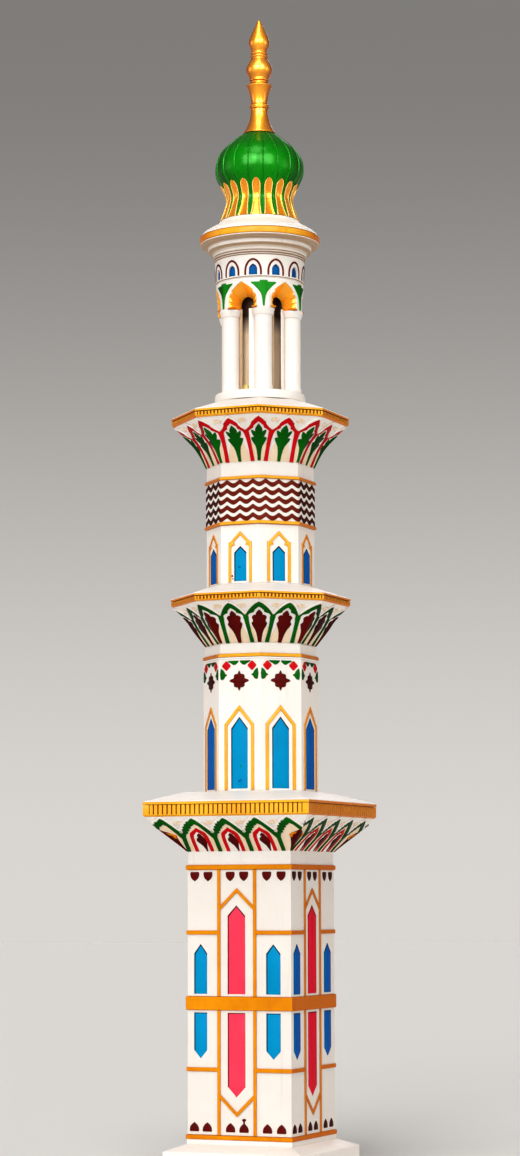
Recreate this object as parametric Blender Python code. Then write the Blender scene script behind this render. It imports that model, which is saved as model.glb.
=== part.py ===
"""Painted ornamental minaret: square base, two octagonal stages, three balconies, lantern and dome.

Metres, +Z up, origin at the centre of the plinth's underside. The front face looks along -Y.
Angles round the axis are measured from the front (-Y) towards +X, in degrees.
"""
import math

import bmesh
import bpy

# Overall height from the ground to the tip of the finial
TOTAL_HEIGHT = 4.572
# Clearance between pieces that rest on each other
GAP = 0.0003

# Plinth and square base
PLINTH_HALF = 0.289
PLINTH_EDGE_TOP = 0.100
PLINTH_TOP = 0.126
BASE_HALF = 0.2160
BASE_BAND_HALF = 0.2220
SKIRTING_HALF = 0.2190
SKIRTING_TOP = 0.1440
BASE_BOTTOM_BAND_TOP = 0.1613
BASE_MIDDLE_BAND_BOTTOM = 0.6314
BASE_MIDDLE_BAND_TOP = 0.6834
BASE_TOP_BAND_BOTTOM = 1.1650
BASE_TOP = 1.1840

# Gilt bars on the square base; the bays are a little off the middle of each face
BAR_PROUD = 0.0040
BAR_WIDTH = 0.0130
BAY_OFFSET = -0.0084
BAR_SPACING = 0.1500
SIDE_BAR_HEIGHT = 0.0150
UPPER_SIDE_BAR_TOP = 0.9335
LOWER_SIDE_BAR_TOP = 0.4150
UPPER_CHEVRON_APEX = 1.0950
UPPER_CHEVRON_FOOT = 1.0290
LOWER_CHEVRON_APEX = 0.2315
LOWER_CHEVRON_FOOT = 0.2975
CHEVRON_HEIGHT = 0.0170

# Recessed pointed panels of the square base: centre and width across the face
NICHE_DEPTH = 0.0080
MIDDLE_PANEL = (-0.0110, 0.0735)
LEFT_PANEL = (-0.1610, 0.0545)
RIGHT_PANEL = (0.1425, 0.0590)
PANEL_CLEAR_OF_BAND = 0.0095
UPPER_MIDDLE_SHOULDER = 0.9895
UPPER_MIDDLE_APEX = 1.0290
UPPER_SIDE_SHOULDER = 0.8460
UPPER_SIDE_APEX = 0.8820
LOWER_MIDDLE_SHOULDER = 0.3440
LOWER_MIDDLE_APEX = 0.3050
LOWER_SIDE_SHOULDER = 0.4800
LOWER_SIDE_APEX = 0.4485

# Lower balcony, square like the base
LOWER_NECK_TOP = 1.2363
LOWER_CORNICE_BOTTOM = 1.3677
LOWER_CORNICE_TOP = 1.4241
LOWER_CORNICE_HALF = 0.3475
LOWER_ROOF_TOP = 1.4650

# Octagonal stages: radii are measured to the corners
OCTAGON_SIDES = 8
LOWER_OCTAGON_RADIUS = 0.2250
LOWER_OCTAGON_TOP = 1.9820
LOWER_OCTAGON_BAND_TOP = 1.9961
LOWER_OCTAGON_BAND_RADIUS = 0.2285
MIDDLE_NECK_TOP = 2.0385
MIDDLE_CORNICE_BOTTOM = 2.1939
MIDDLE_CORNICE_TOP = 2.2238
MIDDLE_ROOF_TOP = 2.2700
OCTAGON_CORNICE_RADIUS = 0.3545
UPPER_OCTAGON_RADIUS = 0.2126
UPPER_OCTAGON_TOP = 2.4990
UPPER_LOWER_BAND_TOP = 2.5119
CHEVRON_DRUM_RADIUS = 0.2140
CHEVRON_DRUM_TOP = 2.6764
UPPER_BAND_RADIUS = 0.2215
UPPER_TOP_BAND_TOP = 2.6887
UPPER_NECK_TOP = 2.7449
UPPER_CORNICE_BOTTOM = 2.9116
UPPER_CORNICE_TOP = 2.9438
UPPER_ROOF_TOP = 3.0010

# Recessed windows of the octagonal stages: width, foot, shoulder and apex
LOWER_WINDOW = (0.0700, 1.4750, 1.7060, 1.7510)
UPPER_WINDOW = (0.0520, 2.2780, 2.3900, 2.4150)

# Lantern: six columns round a core, an arcade ring, a drum and a moulded cornice
LANTERN_TURN = 29.0
COLUMN_COUNT = 6
STEP_RADIUS = 0.1830
STEP_EDGE_TOP = 3.0240
LANTERN_FLOOR = 3.0350
COLUMN_CIRCLE = 0.1385
COLUMN_RADIUS = 0.0330
COLUMN_COLLAR_RADIUS = 0.0395
CAPITAL_FOOT = 3.3300
COLUMN_TOP = 3.3610
CORE_RADIUS = 0.0850
ARCADE_RADIUS = 0.1736
ARCADE_BORE = 0.1150
ARCADE_TOP = 3.4780
ARCH_HALF_WIDTH = 0.0560
ARCH_SHOULDER = 3.4110
ARCH_APEX = 3.4660
DRUM_TOP = 3.5700
DRUM_TOP_RADIUS = 0.1780
CORNICE_SOFFIT = 3.6450
CORNICE_RIM_TOP = 3.6720
CORNICE_RADIUS = 0.2390

# Dome and its ring of petals
DOME_FOOT = 3.7560
DOME_TOP = 4.0970
GORES = 18
GORE_TURN = 8.5
RIB_PROUD = 0.0020
PETAL_HALF_ANGLE = 6.4
PETAL_THICKNESS = 0.0045
PETAL_LIFT = 0.0009
PETAL_TIP = 3.8800
PETAL_SHOULDER = 3.8620
CROWN_RING_TOP = 3.7640

# Finial joints between its four turned pieces
FINIAL_FOOT_TOP = 4.2080
FINIAL_VASE_TOP = 4.3050
FINIAL_BULB_TOP = 4.4240

ROUND_SIDES = 40
SLIM_SIDES = 24

WHITE = ((0.86, 0.83, 0.78), 0.55, 0.0)
GOLD = ((0.80, 0.42, 0.05), 0.38, 0.35)
GREEN = ((0.02, 0.30, 0.02), 0.22, 0.0)
SMOOTH_ANGLE = math.radians(35)


def clear_scene():
    """Remove every object of the open scene."""
    for obj in list(bpy.data.objects):
        bpy.data.objects.remove(obj, do_unlink=True)


def square(half_side):
    """Corner radius of a square from half its side."""
    return half_side * math.sqrt(2)


def around(radius, angle, height):
    """Point at an angle in degrees round the axis, from the front towards +X."""
    turn = math.radians(angle)
    return (radius * math.sin(turn), -radius * math.cos(turn), height)


def finish(mesh_name, bm, look):
    """Turn a bmesh into a named object with its own paint."""
    bmesh.ops.recalc_face_normals(bm, faces=bm.faces)
    mesh = bpy.data.meshes.new(mesh_name)
    bm.to_mesh(mesh)
    bm.free()
    obj = bpy.data.objects.new(mesh_name, mesh)
    bpy.context.collection.objects.link(obj)
    if look:
        obj.data.materials.append(paint(mesh_name + "_paint", *look))
    return obj


def paint(name, colour, roughness, metallic):
    """Plain paint in one colour."""
    material = bpy.data.materials.new(name)
    material.use_nodes = True
    shader = material.node_tree.nodes["Principled BSDF"]
    shader.inputs["Base Color"].default_value = (*colour, 1.0)
    shader.inputs["Roughness"].default_value = roughness
    shader.inputs["Metallic"].default_value = metallic
    return material


def shade_round(obj):
    """Smooth shading that keeps the mouldings' edges crisp."""
    obj.data.shade_smooth()
    obj.data.set_sharp_from_angle(angle=SMOOTH_ANGLE)
    return obj


def stack(name, profile, sides, first_corner, look, bore=None):
    """Solid of stacked regular polygons; profile holds (radius, height) from the bottom up.

    A radius of zero ends in a point. With a bore the solid is a tube of that radius.
    """
    bm = bmesh.new()
    rings = []
    step = 360 / sides
    corners = [first_corner + step * side for side in range(sides)]
    outline = list(profile)
    if bore:
        outline += [(bore, profile[-1][1]), (bore, profile[0][1])]
    for radius, height in outline:
        if radius == 0:
            rings.append([bm.verts.new((0, 0, height))])
        else:
            rings.append([bm.verts.new(around(radius, corner, height)) for corner in corners])
    pairs = list(zip(rings, rings[1:]))
    if bore:
        pairs.append((rings[-1], rings[0]))
    for lower, upper in pairs:
        for side in range(sides):
            after = (side + 1) % sides
            if len(upper) == 1:
                bm.faces.new((lower[side], lower[after], upper[0]))
            elif len(lower) == 1:
                bm.faces.new((lower[0], upper[after], upper[side]))
            else:
                bm.faces.new((lower[side], lower[after], upper[after], upper[side]))
    if not bore:
        for ring in (rings[0], rings[-1]):
            if len(ring) > 1:
                bm.faces.new(ring)
    return finish(name, bm, look)


def smooth_outline(points, steps):
    """Curve through (radius, height) points, with the given number of steps between neighbours."""
    curve = []
    last = len(points) - 1
    for index in range(last):
        before = points[max(index - 1, 0)]
        start = points[index]
        end = points[index + 1]
        after = points[min(index + 2, last)]
        for step in range(steps):
            t = step / steps
            curve.append(tuple(
                0.5 * (2 * s + (e - b) * t + (2 * b - 5 * s + 4 * e - a) * t ** 2
                       + (3 * s - b - 3 * e + a) * t ** 3)
                for b, s, e, a in zip(before, start, end, after)))
    curve.append(points[last])
    return curve


def add_prism(bm, outline, angle, inner, outer, centre=0.0):
    """Add a prism whose (across, height) outline faces the given angle, from inner to outer."""
    turn = math.radians(angle)
    normal = (math.sin(turn), -math.cos(turn))
    across = (math.cos(turn), math.sin(turn))
    ends = []
    for depth in (inner, outer):
        ends.append([bm.verts.new((normal[0] * depth + across[0] * (u + centre),
                                   normal[1] * depth + across[1] * (u + centre), height))
                     for u, height in outline])
    bm.faces.new(ends[0])
    bm.faces.new(ends[1])
    count = len(outline)
    for corner in range(count):
        after = (corner + 1) % count
        bm.faces.new((ends[0][corner], ends[0][after], ends[1][after], ends[1][corner]))


def lancet(width, foot, shoulder, apex, centre=0.0):
    """Pointed panel outline, pointing up or down."""
    half = width / 2
    return [(centre - half, foot), (centre + half, foot), (centre + half, shoulder),
            (centre, apex), (centre - half, shoulder)]


def carve(obj, name, prisms):
    """Cut a set of prisms out of an object."""
    bm = bmesh.new()
    for prism in prisms:
        add_prism(bm, *prism)
    cutter = finish(name, bm, None)
    cutter.hide_render = True
    cutter.display_type = "WIRE"
    cut = obj.modifiers.new(name, "BOOLEAN")
    cut.operation = "DIFFERENCE"
    cut.solver = "EXACT"
    cut.object = cutter
    return obj


def square_piece(name, profile, look):
    """Piece on the square plan; the profile holds (half side, height)."""
    return stack(name, [(square(half), height) for half, height in profile], 4, 45, look)


def octagon_piece(name, profile, look):
    """Piece on the octagonal plan, with a face to the front."""
    return stack(name, profile, OCTAGON_SIDES, 180 / OCTAGON_SIDES, look)


def base_panels(foot, middle, side):
    """Recessed panels of all four faces of one half of the base."""
    prisms = []
    for angle in range(0, 360, 90):
        for (centre, width), (shoulder, apex) in zip((LEFT_PANEL, MIDDLE_PANEL, RIGHT_PANEL),
                                                     (side, middle, side)):
            outline = lancet(width, foot, shoulder, apex, centre)
            prisms.append((outline, angle, BASE_HALF - NICHE_DEPTH, BASE_HALF + NICHE_DEPTH))
    return prisms


def strapwork(name, bottom, top, side_bar_top, chevron_foot, chevron_apex):
    """Gilt bars of one half of the base: uprights, a chevron between them and bars round the corners."""
    inner = BASE_HALF + GAP
    outer = BASE_HALF + BAR_PROUD
    bars = stack(name, [(square(outer), bottom), (square(outer), top)], 4, 45, GOLD, bore=square(inner))
    left = BAY_OFFSET - BAR_SPACING / 2
    right = BAY_OFFSET + BAR_SPACING / 2
    half = BAR_WIDTH / 2
    beyond = BAR_PROUD
    reach = (BASE_HALF - 5 * BAR_PROUD, BASE_HALF + 5 * BAR_PROUD)
    rise = math.copysign(CHEVRON_HEIGHT, chevron_apex - chevron_foot)
    far_end = top if rise > 0 else bottom
    near_end = bottom if rise > 0 else top
    past_far = far_end + math.copysign(beyond, rise)
    past_near = near_end - math.copysign(beyond, rise)
    inside_left = left + half
    inside_right = right - half
    above = [(inside_left, past_far), (inside_left, chevron_foot), (BAY_OFFSET, chevron_apex),
             (inside_right, chevron_foot), (inside_right, past_far)]
    below = [(inside_left, past_near), (inside_left, chevron_foot - rise),
             (BAY_OFFSET, chevron_apex - rise), (inside_right, chevron_foot - rise),
             (inside_right, past_near)]
    windows = []
    corners = []
    side_bar_bottom = side_bar_top - SIDE_BAR_HEIGHT
    corner_reach = (-(left - half), BASE_HALF + 5 * BAR_PROUD)
    for angle in range(0, 360, 90):
        windows.append((above, angle, *reach))
        windows.append((below, angle, *reach))
        for low, high in ((bottom - beyond, side_bar_bottom), (side_bar_top, top + beyond)):
            block = [(right + half, low), (corner_reach[1], low), (corner_reach[1], high),
                     (right + half, high)]
            corners.append((block, angle, *corner_reach))
    carve(bars, name + "_bays", windows)
    carve(bars, name + "_corners", corners)
    return bars


def build_base():
    """Plinth and square base."""
    square_piece("plinth_slab", [(PLINTH_HALF, 0), (PLINTH_HALF, PLINTH_EDGE_TOP - 0.004),
                                 (PLINTH_HALF - 0.004, PLINTH_EDGE_TOP),
                                 (SKIRTING_HALF, PLINTH_TOP)], WHITE)
    square_piece("base_skirting", [(SKIRTING_HALF, PLINTH_TOP + GAP), (SKIRTING_HALF, SKIRTING_TOP)], WHITE)
    bands = {"base_bottom_band": (SKIRTING_TOP, BASE_BOTTOM_BAND_TOP),
             "base_middle_band": (BASE_MIDDLE_BAND_BOTTOM, BASE_MIDDLE_BAND_TOP),
             "base_top_band": (BASE_TOP_BAND_BOTTOM, BASE_TOP)}
    for name, (bottom, top) in bands.items():
        edge = 0.003
        square_piece(name, [(BASE_BAND_HALF - edge, bottom + GAP), (BASE_BAND_HALF, bottom + edge),
                            (BASE_BAND_HALF, top - edge), (BASE_BAND_HALF - edge, top)], GOLD)
    lower = square_piece("base_lower_shaft", [(BASE_HALF, BASE_BOTTOM_BAND_TOP + GAP),
                                              (BASE_HALF, BASE_MIDDLE_BAND_BOTTOM)], WHITE)
    carve(lower, "lower_panels", base_panels(BASE_MIDDLE_BAND_BOTTOM - PANEL_CLEAR_OF_BAND,
                                             (LOWER_MIDDLE_SHOULDER, LOWER_MIDDLE_APEX),
                                             (LOWER_SIDE_SHOULDER, LOWER_SIDE_APEX)))
    upper = square_piece("base_upper_shaft", [(BASE_HALF, BASE_MIDDLE_BAND_TOP + GAP),
                                              (BASE_HALF, BASE_TOP_BAND_BOTTOM)], WHITE)
    carve(upper, "upper_panels", base_panels(BASE_MIDDLE_BAND_TOP + PANEL_CLEAR_OF_BAND,
                                             (UPPER_MIDDLE_SHOULDER, UPPER_MIDDLE_APEX),
                                             (UPPER_SIDE_SHOULDER, UPPER_SIDE_APEX)))
    strapwork("lower_strapwork", BASE_BOTTOM_BAND_TOP + GAP, BASE_MIDDLE_BAND_BOTTOM, LOWER_SIDE_BAR_TOP,
              LOWER_CHEVRON_FOOT, LOWER_CHEVRON_APEX)
    strapwork("upper_strapwork", BASE_MIDDLE_BAND_TOP + GAP, BASE_TOP_BAND_BOTTOM, UPPER_SIDE_BAR_TOP,
              UPPER_CHEVRON_FOOT, UPPER_CHEVRON_APEX)


def cornice_profile(radius, bottom, top):
    """Fascia with a fillet over a sunk band, under the roof of a balcony."""
    height = top - bottom
    fillet = 0.24 * height
    sunk = 0.0040
    return [(radius - 2.0 * sunk, bottom), (radius - sunk, bottom + 0.30 * height),
            (radius - sunk, top - fillet), (radius, top - fillet + 0.001), (radius, top)]


def build_lower_balcony():
    """Square balcony: neck and flared corbel, gilt cornice and sloping roof."""
    half = LOWER_CORNICE_HALF
    square_piece("lower_balcony_corbel", [(0.2150, BASE_TOP + GAP), (0.2150, LOWER_NECK_TOP),
                                          (0.2330, LOWER_NECK_TOP + 0.0200),
                                          (0.3110, LOWER_CORNICE_BOTTOM - 0.0330),
                                          (0.3400, LOWER_CORNICE_BOTTOM)], WHITE)
    square_piece("lower_balcony_cornice",
                 cornice_profile(half, LOWER_CORNICE_BOTTOM + GAP, LOWER_CORNICE_TOP), GOLD)
    square_piece("lower_balcony_roof", [(half - 0.0020, LOWER_CORNICE_TOP + GAP),
                                        (half - 0.0040, LOWER_CORNICE_TOP + 0.0030),
                                        (LOWER_OCTAGON_RADIUS, LOWER_ROOF_TOP)], WHITE)


def octagon_windows(radius, window):
    """One recessed window on each face of an octagonal stage."""
    wall = radius * math.cos(math.pi / OCTAGON_SIDES)
    outline = lancet(*window)
    return [(outline, face * 360 / OCTAGON_SIDES, wall - NICHE_DEPTH, wall + NICHE_DEPTH)
            for face in range(OCTAGON_SIDES)]


def band(name, radius, bottom, top):
    """Gilt octagonal band with eased edges."""
    edge = 0.0025
    octagon_piece(name, [(radius - edge, bottom + GAP), (radius, bottom + edge), (radius, top - edge),
                         (radius - edge, top)], GOLD)


def build_lower_octagon():
    """Lower octagonal stage with a recessed window on each face."""
    shaft = octagon_piece("lower_octagon_shaft", [(LOWER_OCTAGON_RADIUS, LOWER_ROOF_TOP + GAP),
                                                  (LOWER_OCTAGON_RADIUS, LOWER_OCTAGON_TOP)], WHITE)
    carve(shaft, "lower_windows", octagon_windows(LOWER_OCTAGON_RADIUS, LOWER_WINDOW))
    band("lower_octagon_band", LOWER_OCTAGON_BAND_RADIUS, LOWER_OCTAGON_TOP, LOWER_OCTAGON_BAND_TOP)


def build_middle_balcony():
    """Octagonal balcony below the upper stage."""
    radius = OCTAGON_CORNICE_RADIUS
    flare = smooth_outline([(0.2130, MIDDLE_NECK_TOP), (0.2630, 2.1030), (0.2900, 2.1420),
                            (0.3430, MIDDLE_CORNICE_BOTTOM)], 2)
    octagon_piece("middle_balcony_corbel", [(0.2190, LOWER_OCTAGON_BAND_TOP + GAP),
                                            (0.2190, MIDDLE_NECK_TOP - 0.0050), *flare], WHITE)
    octagon_piece("middle_balcony_cornice",
                  cornice_profile(radius, MIDDLE_CORNICE_BOTTOM + GAP, MIDDLE_CORNICE_TOP), GOLD)
    octagon_piece("middle_balcony_roof", [(radius - 0.0020, MIDDLE_CORNICE_TOP + GAP),
                                          (radius - 0.0040, MIDDLE_CORNICE_TOP + 0.0030),
                                          (UPPER_OCTAGON_RADIUS, MIDDLE_ROOF_TOP)], WHITE)


def build_upper_octagon():
    """Upper octagonal stage: windowed shaft and the drum for the zigzag stripes."""
    shaft = octagon_piece("upper_octagon_shaft", [(UPPER_OCTAGON_RADIUS, MIDDLE_ROOF_TOP + GAP),
                                                  (UPPER_OCTAGON_RADIUS, UPPER_OCTAGON_TOP)], WHITE)
    carve(shaft, "upper_windows", octagon_windows(UPPER_OCTAGON_RADIUS, UPPER_WINDOW))
    band("upper_octagon_lower_band", UPPER_BAND_RADIUS, UPPER_OCTAGON_TOP, UPPER_LOWER_BAND_TOP)
    octagon_piece("chevron_drum", [(CHEVRON_DRUM_RADIUS, UPPER_LOWER_BAND_TOP + GAP),
                                   (CHEVRON_DRUM_RADIUS, CHEVRON_DRUM_TOP)], WHITE)
    band("upper_octagon_top_band", UPPER_BAND_RADIUS, CHEVRON_DRUM_TOP, UPPER_TOP_BAND_TOP)


def build_upper_balcony():
    """Octagonal balcony that carries the lantern."""
    radius = OCTAGON_CORNICE_RADIUS - 0.0020
    flare = smooth_outline([(0.2100, UPPER_NECK_TOP), (0.2350, 2.7950), (0.2670, 2.8400),
                            (0.3400, UPPER_CORNICE_BOTTOM)], 2)
    octagon_piece("upper_balcony_corbel", [(0.2120, UPPER_TOP_BAND_TOP + GAP),
                                           (0.2120, UPPER_NECK_TOP - 0.0050), *flare], WHITE)
    octagon_piece("upper_balcony_cornice",
                  cornice_profile(radius, UPPER_CORNICE_BOTTOM + GAP, UPPER_CORNICE_TOP), GOLD)
    octagon_piece("upper_balcony_roof", [(radius - 0.0020, UPPER_CORNICE_TOP + GAP),
                                         (radius - 0.0040, UPPER_CORNICE_TOP + 0.0030),
                                         (STEP_RADIUS, UPPER_ROOF_TOP)], WHITE)


def build_columns():
    """Six round columns with collars and capitals, each placed on the lantern's floor."""
    profile = [(COLUMN_COLLAR_RADIUS, 0), (COLUMN_COLLAR_RADIUS, 0.0120),
               (COLUMN_RADIUS + 0.0010, 0.0240), (COLUMN_RADIUS, 0.0280),
               (COLUMN_RADIUS, CAPITAL_FOOT - LANTERN_FLOOR),
               (COLUMN_RADIUS + 0.0020, CAPITAL_FOOT - LANTERN_FLOOR + 0.0040),
               (COLUMN_COLLAR_RADIUS + 0.0010, CAPITAL_FOOT - LANTERN_FLOOR + 0.0140),
               (COLUMN_COLLAR_RADIUS + 0.0010, COLUMN_TOP - LANTERN_FLOOR - 2 * GAP)]
    for index in range(COLUMN_COUNT):
        column = stack(f"lantern_column_{index + 1}", profile, SLIM_SIDES, 0, WHITE)
        column.location = around(COLUMN_CIRCLE, LANTERN_TURN + 60 * index, LANTERN_FLOOR + GAP)
        shade_round(column)


def arch_outline():
    """Pointed arch with notched shoulders."""
    half = ARCH_HALF_WIDTH
    foot = COLUMN_TOP - 0.01
    notch = 0.0060
    rise = ARCH_APEX - ARCH_SHOULDER
    return [(-half, foot), (half, foot), (half, ARCH_SHOULDER - 0.4 * rise), (half - 0.5 * notch, ARCH_SHOULDER),
            (half - 2 * notch, ARCH_SHOULDER), (half * 0.42, ARCH_SHOULDER + 0.62 * rise), (0, ARCH_APEX),
            (-half * 0.42, ARCH_SHOULDER + 0.62 * rise), (2 * notch - half, ARCH_SHOULDER),
            (0.5 * notch - half, ARCH_SHOULDER), (-half, ARCH_SHOULDER - 0.4 * rise)]


def build_lantern():
    """Step, columns, core, arcade ring, drum and cornice."""
    octagon_piece("lantern_step", [(STEP_RADIUS, UPPER_ROOF_TOP + GAP), (STEP_RADIUS, STEP_EDGE_TOP),
                                   (STEP_RADIUS - 0.0060, LANTERN_FLOOR)], WHITE)
    build_columns()
    shade_round(stack("lantern_core", [(CORE_RADIUS, LANTERN_FLOOR + GAP), (CORE_RADIUS, ARCADE_TOP)],
                      ROUND_SIDES, 0, WHITE))
    arcade = stack("lantern_arcade", [(ARCADE_RADIUS, COLUMN_TOP), (ARCADE_RADIUS, ARCADE_TOP)],
                   2 * ROUND_SIDES - 8, LANTERN_TURN, WHITE, bore=ARCADE_BORE)
    outline = arch_outline()
    arches = [(outline, LANTERN_TURN + 30 + 60 * bay, ARCADE_BORE - 0.012, ARCADE_RADIUS + 0.01)
              for bay in range(COLUMN_COUNT)]
    shade_round(carve(arcade, "arches", arches))
    shade_round(stack("lantern_drum", [(ARCADE_RADIUS - 0.001, ARCADE_TOP + GAP),
                                       (ARCADE_RADIUS + 0.0020, ARCADE_TOP + 0.0040),
                                       (ARCADE_RADIUS, ARCADE_TOP + 0.0100),
                                       (DRUM_TOP_RADIUS, DRUM_TOP)], ROUND_SIDES, 0, WHITE))
    soffit = smooth_outline([(0.2050, 3.6280), (0.2140, 3.6330), (0.2340, 3.6360),
                             (CORNICE_RADIUS - 0.001, CORNICE_SOFFIT)], 2)
    shade_round(stack("lantern_cornice", [(0.1790, DRUM_TOP + GAP), (0.1815, 3.5750), (0.1800, 3.5800),
                                          (0.1830, 3.5840), (0.1856, 3.6060), (0.1930, 3.6100),
                                          (0.2020, 3.6150), (0.2050, 3.6220), *soffit],
                      ROUND_SIDES, 0, WHITE))
    shade_round(stack("lantern_cornice_rim", [(CORNICE_RADIUS - 0.002, CORNICE_SOFFIT + GAP),
                                              (CORNICE_RADIUS, CORNICE_SOFFIT + 0.003),
                                              (CORNICE_RADIUS, CORNICE_RIM_TOP - 0.003),
                                              (CORNICE_RADIUS - 0.002, CORNICE_RIM_TOP)],
                      ROUND_SIDES, 0, GOLD))


def dome_outline():
    """Onion outline of the dome from its foot to the finial."""
    return smooth_outline([(0.1540, DOME_FOOT + GAP), (0.1340, 3.7950), (0.1290, 3.8290),
                           (0.1460, 3.8740), (0.1690, 3.9150), (0.1740, 3.9500), (0.1680, 3.9880),
                           (0.1440, 4.0290), (0.0960, 4.0730), (0.0620, DOME_TOP)], 2)


def dome_columns():
    """Angles of the dome's seams, as pairs of an angle and whether a rib runs there."""
    gore = 360 / GORES
    columns = []
    for index in range(GORES):
        rib = GORE_TURN + gore * index
        middle = rib + gore / 2
        columns.append((rib, True))
        columns += [(middle - PETAL_HALF_ANGLE, False), (middle, False), (middle + PETAL_HALF_ANGLE, False)]
    return columns


def build_dome():
    """White base, ribbed onion dome and its crown of petals."""
    shade_round(stack("dome_base", smooth_outline([(0.2370, CORNICE_RIM_TOP + GAP), (0.2216, 3.6940),
                                                   (0.1856, 3.7160), (0.1700, 3.7380),
                                                   (0.1560, DOME_FOOT)], 2), ROUND_SIDES, 0, WHITE))
    columns = dome_columns()
    bm = bmesh.new()
    rings = []
    for radius, height in dome_outline():
        rings.append([bm.verts.new(around(radius + RIB_PROUD * rib, angle, height))
                      for angle, rib in columns])
    for lower, upper in zip(rings, rings[1:]):
        for side in range(len(columns)):
            after = (side + 1) % len(columns)
            bm.faces.new((lower[side], lower[after], upper[after], upper[side]))
    bm.faces.new(rings[0])
    bm.faces.new(rings[-1])
    shade_round(finish("dome", bm, GREEN))
    build_petals(columns)


def dome_radius(height):
    """Radius of the dome's facets at a height."""
    outline = dome_outline()
    for (low_radius, low), (high_radius, high) in zip(outline, outline[1:]):
        if low <= height <= high:
            return low_radius + (high_radius - low_radius) * (height - low) / (high - low)
    return outline[0][0]


def build_petals(columns):
    """Crown of pointed petals round the dome's neck, joined by a low ring at its foot."""
    heights = [height for _, height in dome_outline() if CROWN_RING_TOP < height < PETAL_SHOULDER - 0.004]
    rows = [DOME_FOOT + GAP, CROWN_RING_TOP, *heights, PETAL_SHOULDER]
    bm = bmesh.new()
    layers = []
    for lift in (PETAL_LIFT, PETAL_LIFT + PETAL_THICKNESS):
        grid = []
        for row, height in enumerate(rows):
            ring = []
            for angle, rib in columns:
                if rib and row > 1:
                    ring.append(None)
                else:
                    radius = dome_radius(height) + lift + RIB_PROUD * rib
                    ring.append(bm.verts.new(around(radius, angle, height)))
            grid.append(ring)
        tips = [bm.verts.new(around(dome_radius(PETAL_TIP) + lift, angle, PETAL_TIP))
                if column % 4 == 2 else None for column, (angle, _) in enumerate(columns)]
        layers.append((grid, tips))
    (inner, inner_tips), (outer, outer_tips) = layers
    count = len(columns)

    def wall(first, second):
        """Close the edge of the sheet between two places of the grid."""
        bm.faces.new((inner_at(first), inner_at(second), outer_at(second), outer_at(first)))

    def inner_at(place):
        return inner_tips[place[1]] if place[0] == len(rows) else inner[place[0]][place[1]]

    def outer_at(place):
        return outer_tips[place[1]] if place[0] == len(rows) else outer[place[0]][place[1]]

    for column in range(count):
        after = (column + 1) % count
        wall((0, column), (0, after))
        on_petal = column % 4 in (1, 2)
        for row in range(len(rows) - 1):
            if row > 0 and not on_petal:
                continue
            for grid in (inner, outer):
                bm.faces.new((grid[row][column], grid[row][after], grid[row + 1][after],
                              grid[row + 1][column]))
        if not on_petal:
            wall((1, column), (1, after))
            continue
        edge = column if column % 4 == 1 else after
        middle = after if column % 4 == 1 else column
        top = len(rows)
        for grid, tips in layers:
            bm.faces.new((grid[top - 1][column], grid[top - 1][after], tips[middle]))
        wall((top - 1, edge), (top, middle))
        for row in range(1, top - 1):
            wall((row, edge), (row + 1, edge))
    finish("dome_petal_crown", bm, GOLD)


def build_finial():
    """Four turned pieces threaded on the dome's top."""
    foot = smooth_outline([(0.0650, 4.1020), (0.0480, 4.1340), (0.0350, 4.1700), (0.0330, 4.1960)], 2)
    pieces = {
        "finial_foot": [(0.0640, DOME_TOP + GAP), *foot, (0.0390, 4.2000), (0.0400, 4.2050),
                        (0.0370, FINIAL_FOOT_TOP)],
        "finial_vase": [(0.0370, FINIAL_FOOT_TOP + GAP), (0.0385, 4.2140), (0.0330, 4.2200), (0.0335, 4.2430),
                        (0.0420, 4.2710), (0.0520, 4.2930), (0.0510, 4.2980), (0.0400, FINIAL_VASE_TOP)],
        "finial_bulb": [(0.0360, FINIAL_VASE_TOP + GAP), (0.0350, 4.3120), (0.0400, 4.3180), (0.0400, 4.3240),
                        (0.0460, 4.3400), (0.0520, 4.3620), (0.0490, 4.3830), (0.0370, 4.4010),
                        (0.0300, 4.4100), (0.0345, 4.4150), (0.0300, FINIAL_BULB_TOP)],
        "finial_spear": [(0.0300, FINIAL_BULB_TOP + GAP), (0.0325, 4.4310), (0.0270, 4.4360), (0.0300, 4.4420),
                         (0.0370, 4.4580), (0.0390, 4.4730), (0.0350, 4.4950), (0.0230, 4.5250),
                         (0.0100, 4.5550), (0.0030, 4.5690), (0, TOTAL_HEIGHT)]}
    for name, profile in pieces.items():
        shade_round(stack(name, profile, SLIM_SIDES, 0, GOLD))


def main():
    clear_scene()
    build_base()
    build_lower_balcony()
    build_lower_octagon()
    build_middle_balcony()
    build_upper_octagon()
    build_upper_balcony()
    build_lantern()
    build_dome()
    build_finial()


main()
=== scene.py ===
"""Painted minaret: softened masonry, relief ornament, paint, floor, light and camera.

Metres, +Z up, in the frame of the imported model. Angles round the axis are in degrees from the front (-Y)
towards +X. Ornament is drawn on a flat sheet as (across, along, out) and then laid on its surface.
"""

import math

import bmesh
import bpy
from mathutils import Matrix
from mathutils.geometry import tessellate_polygon


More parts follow.
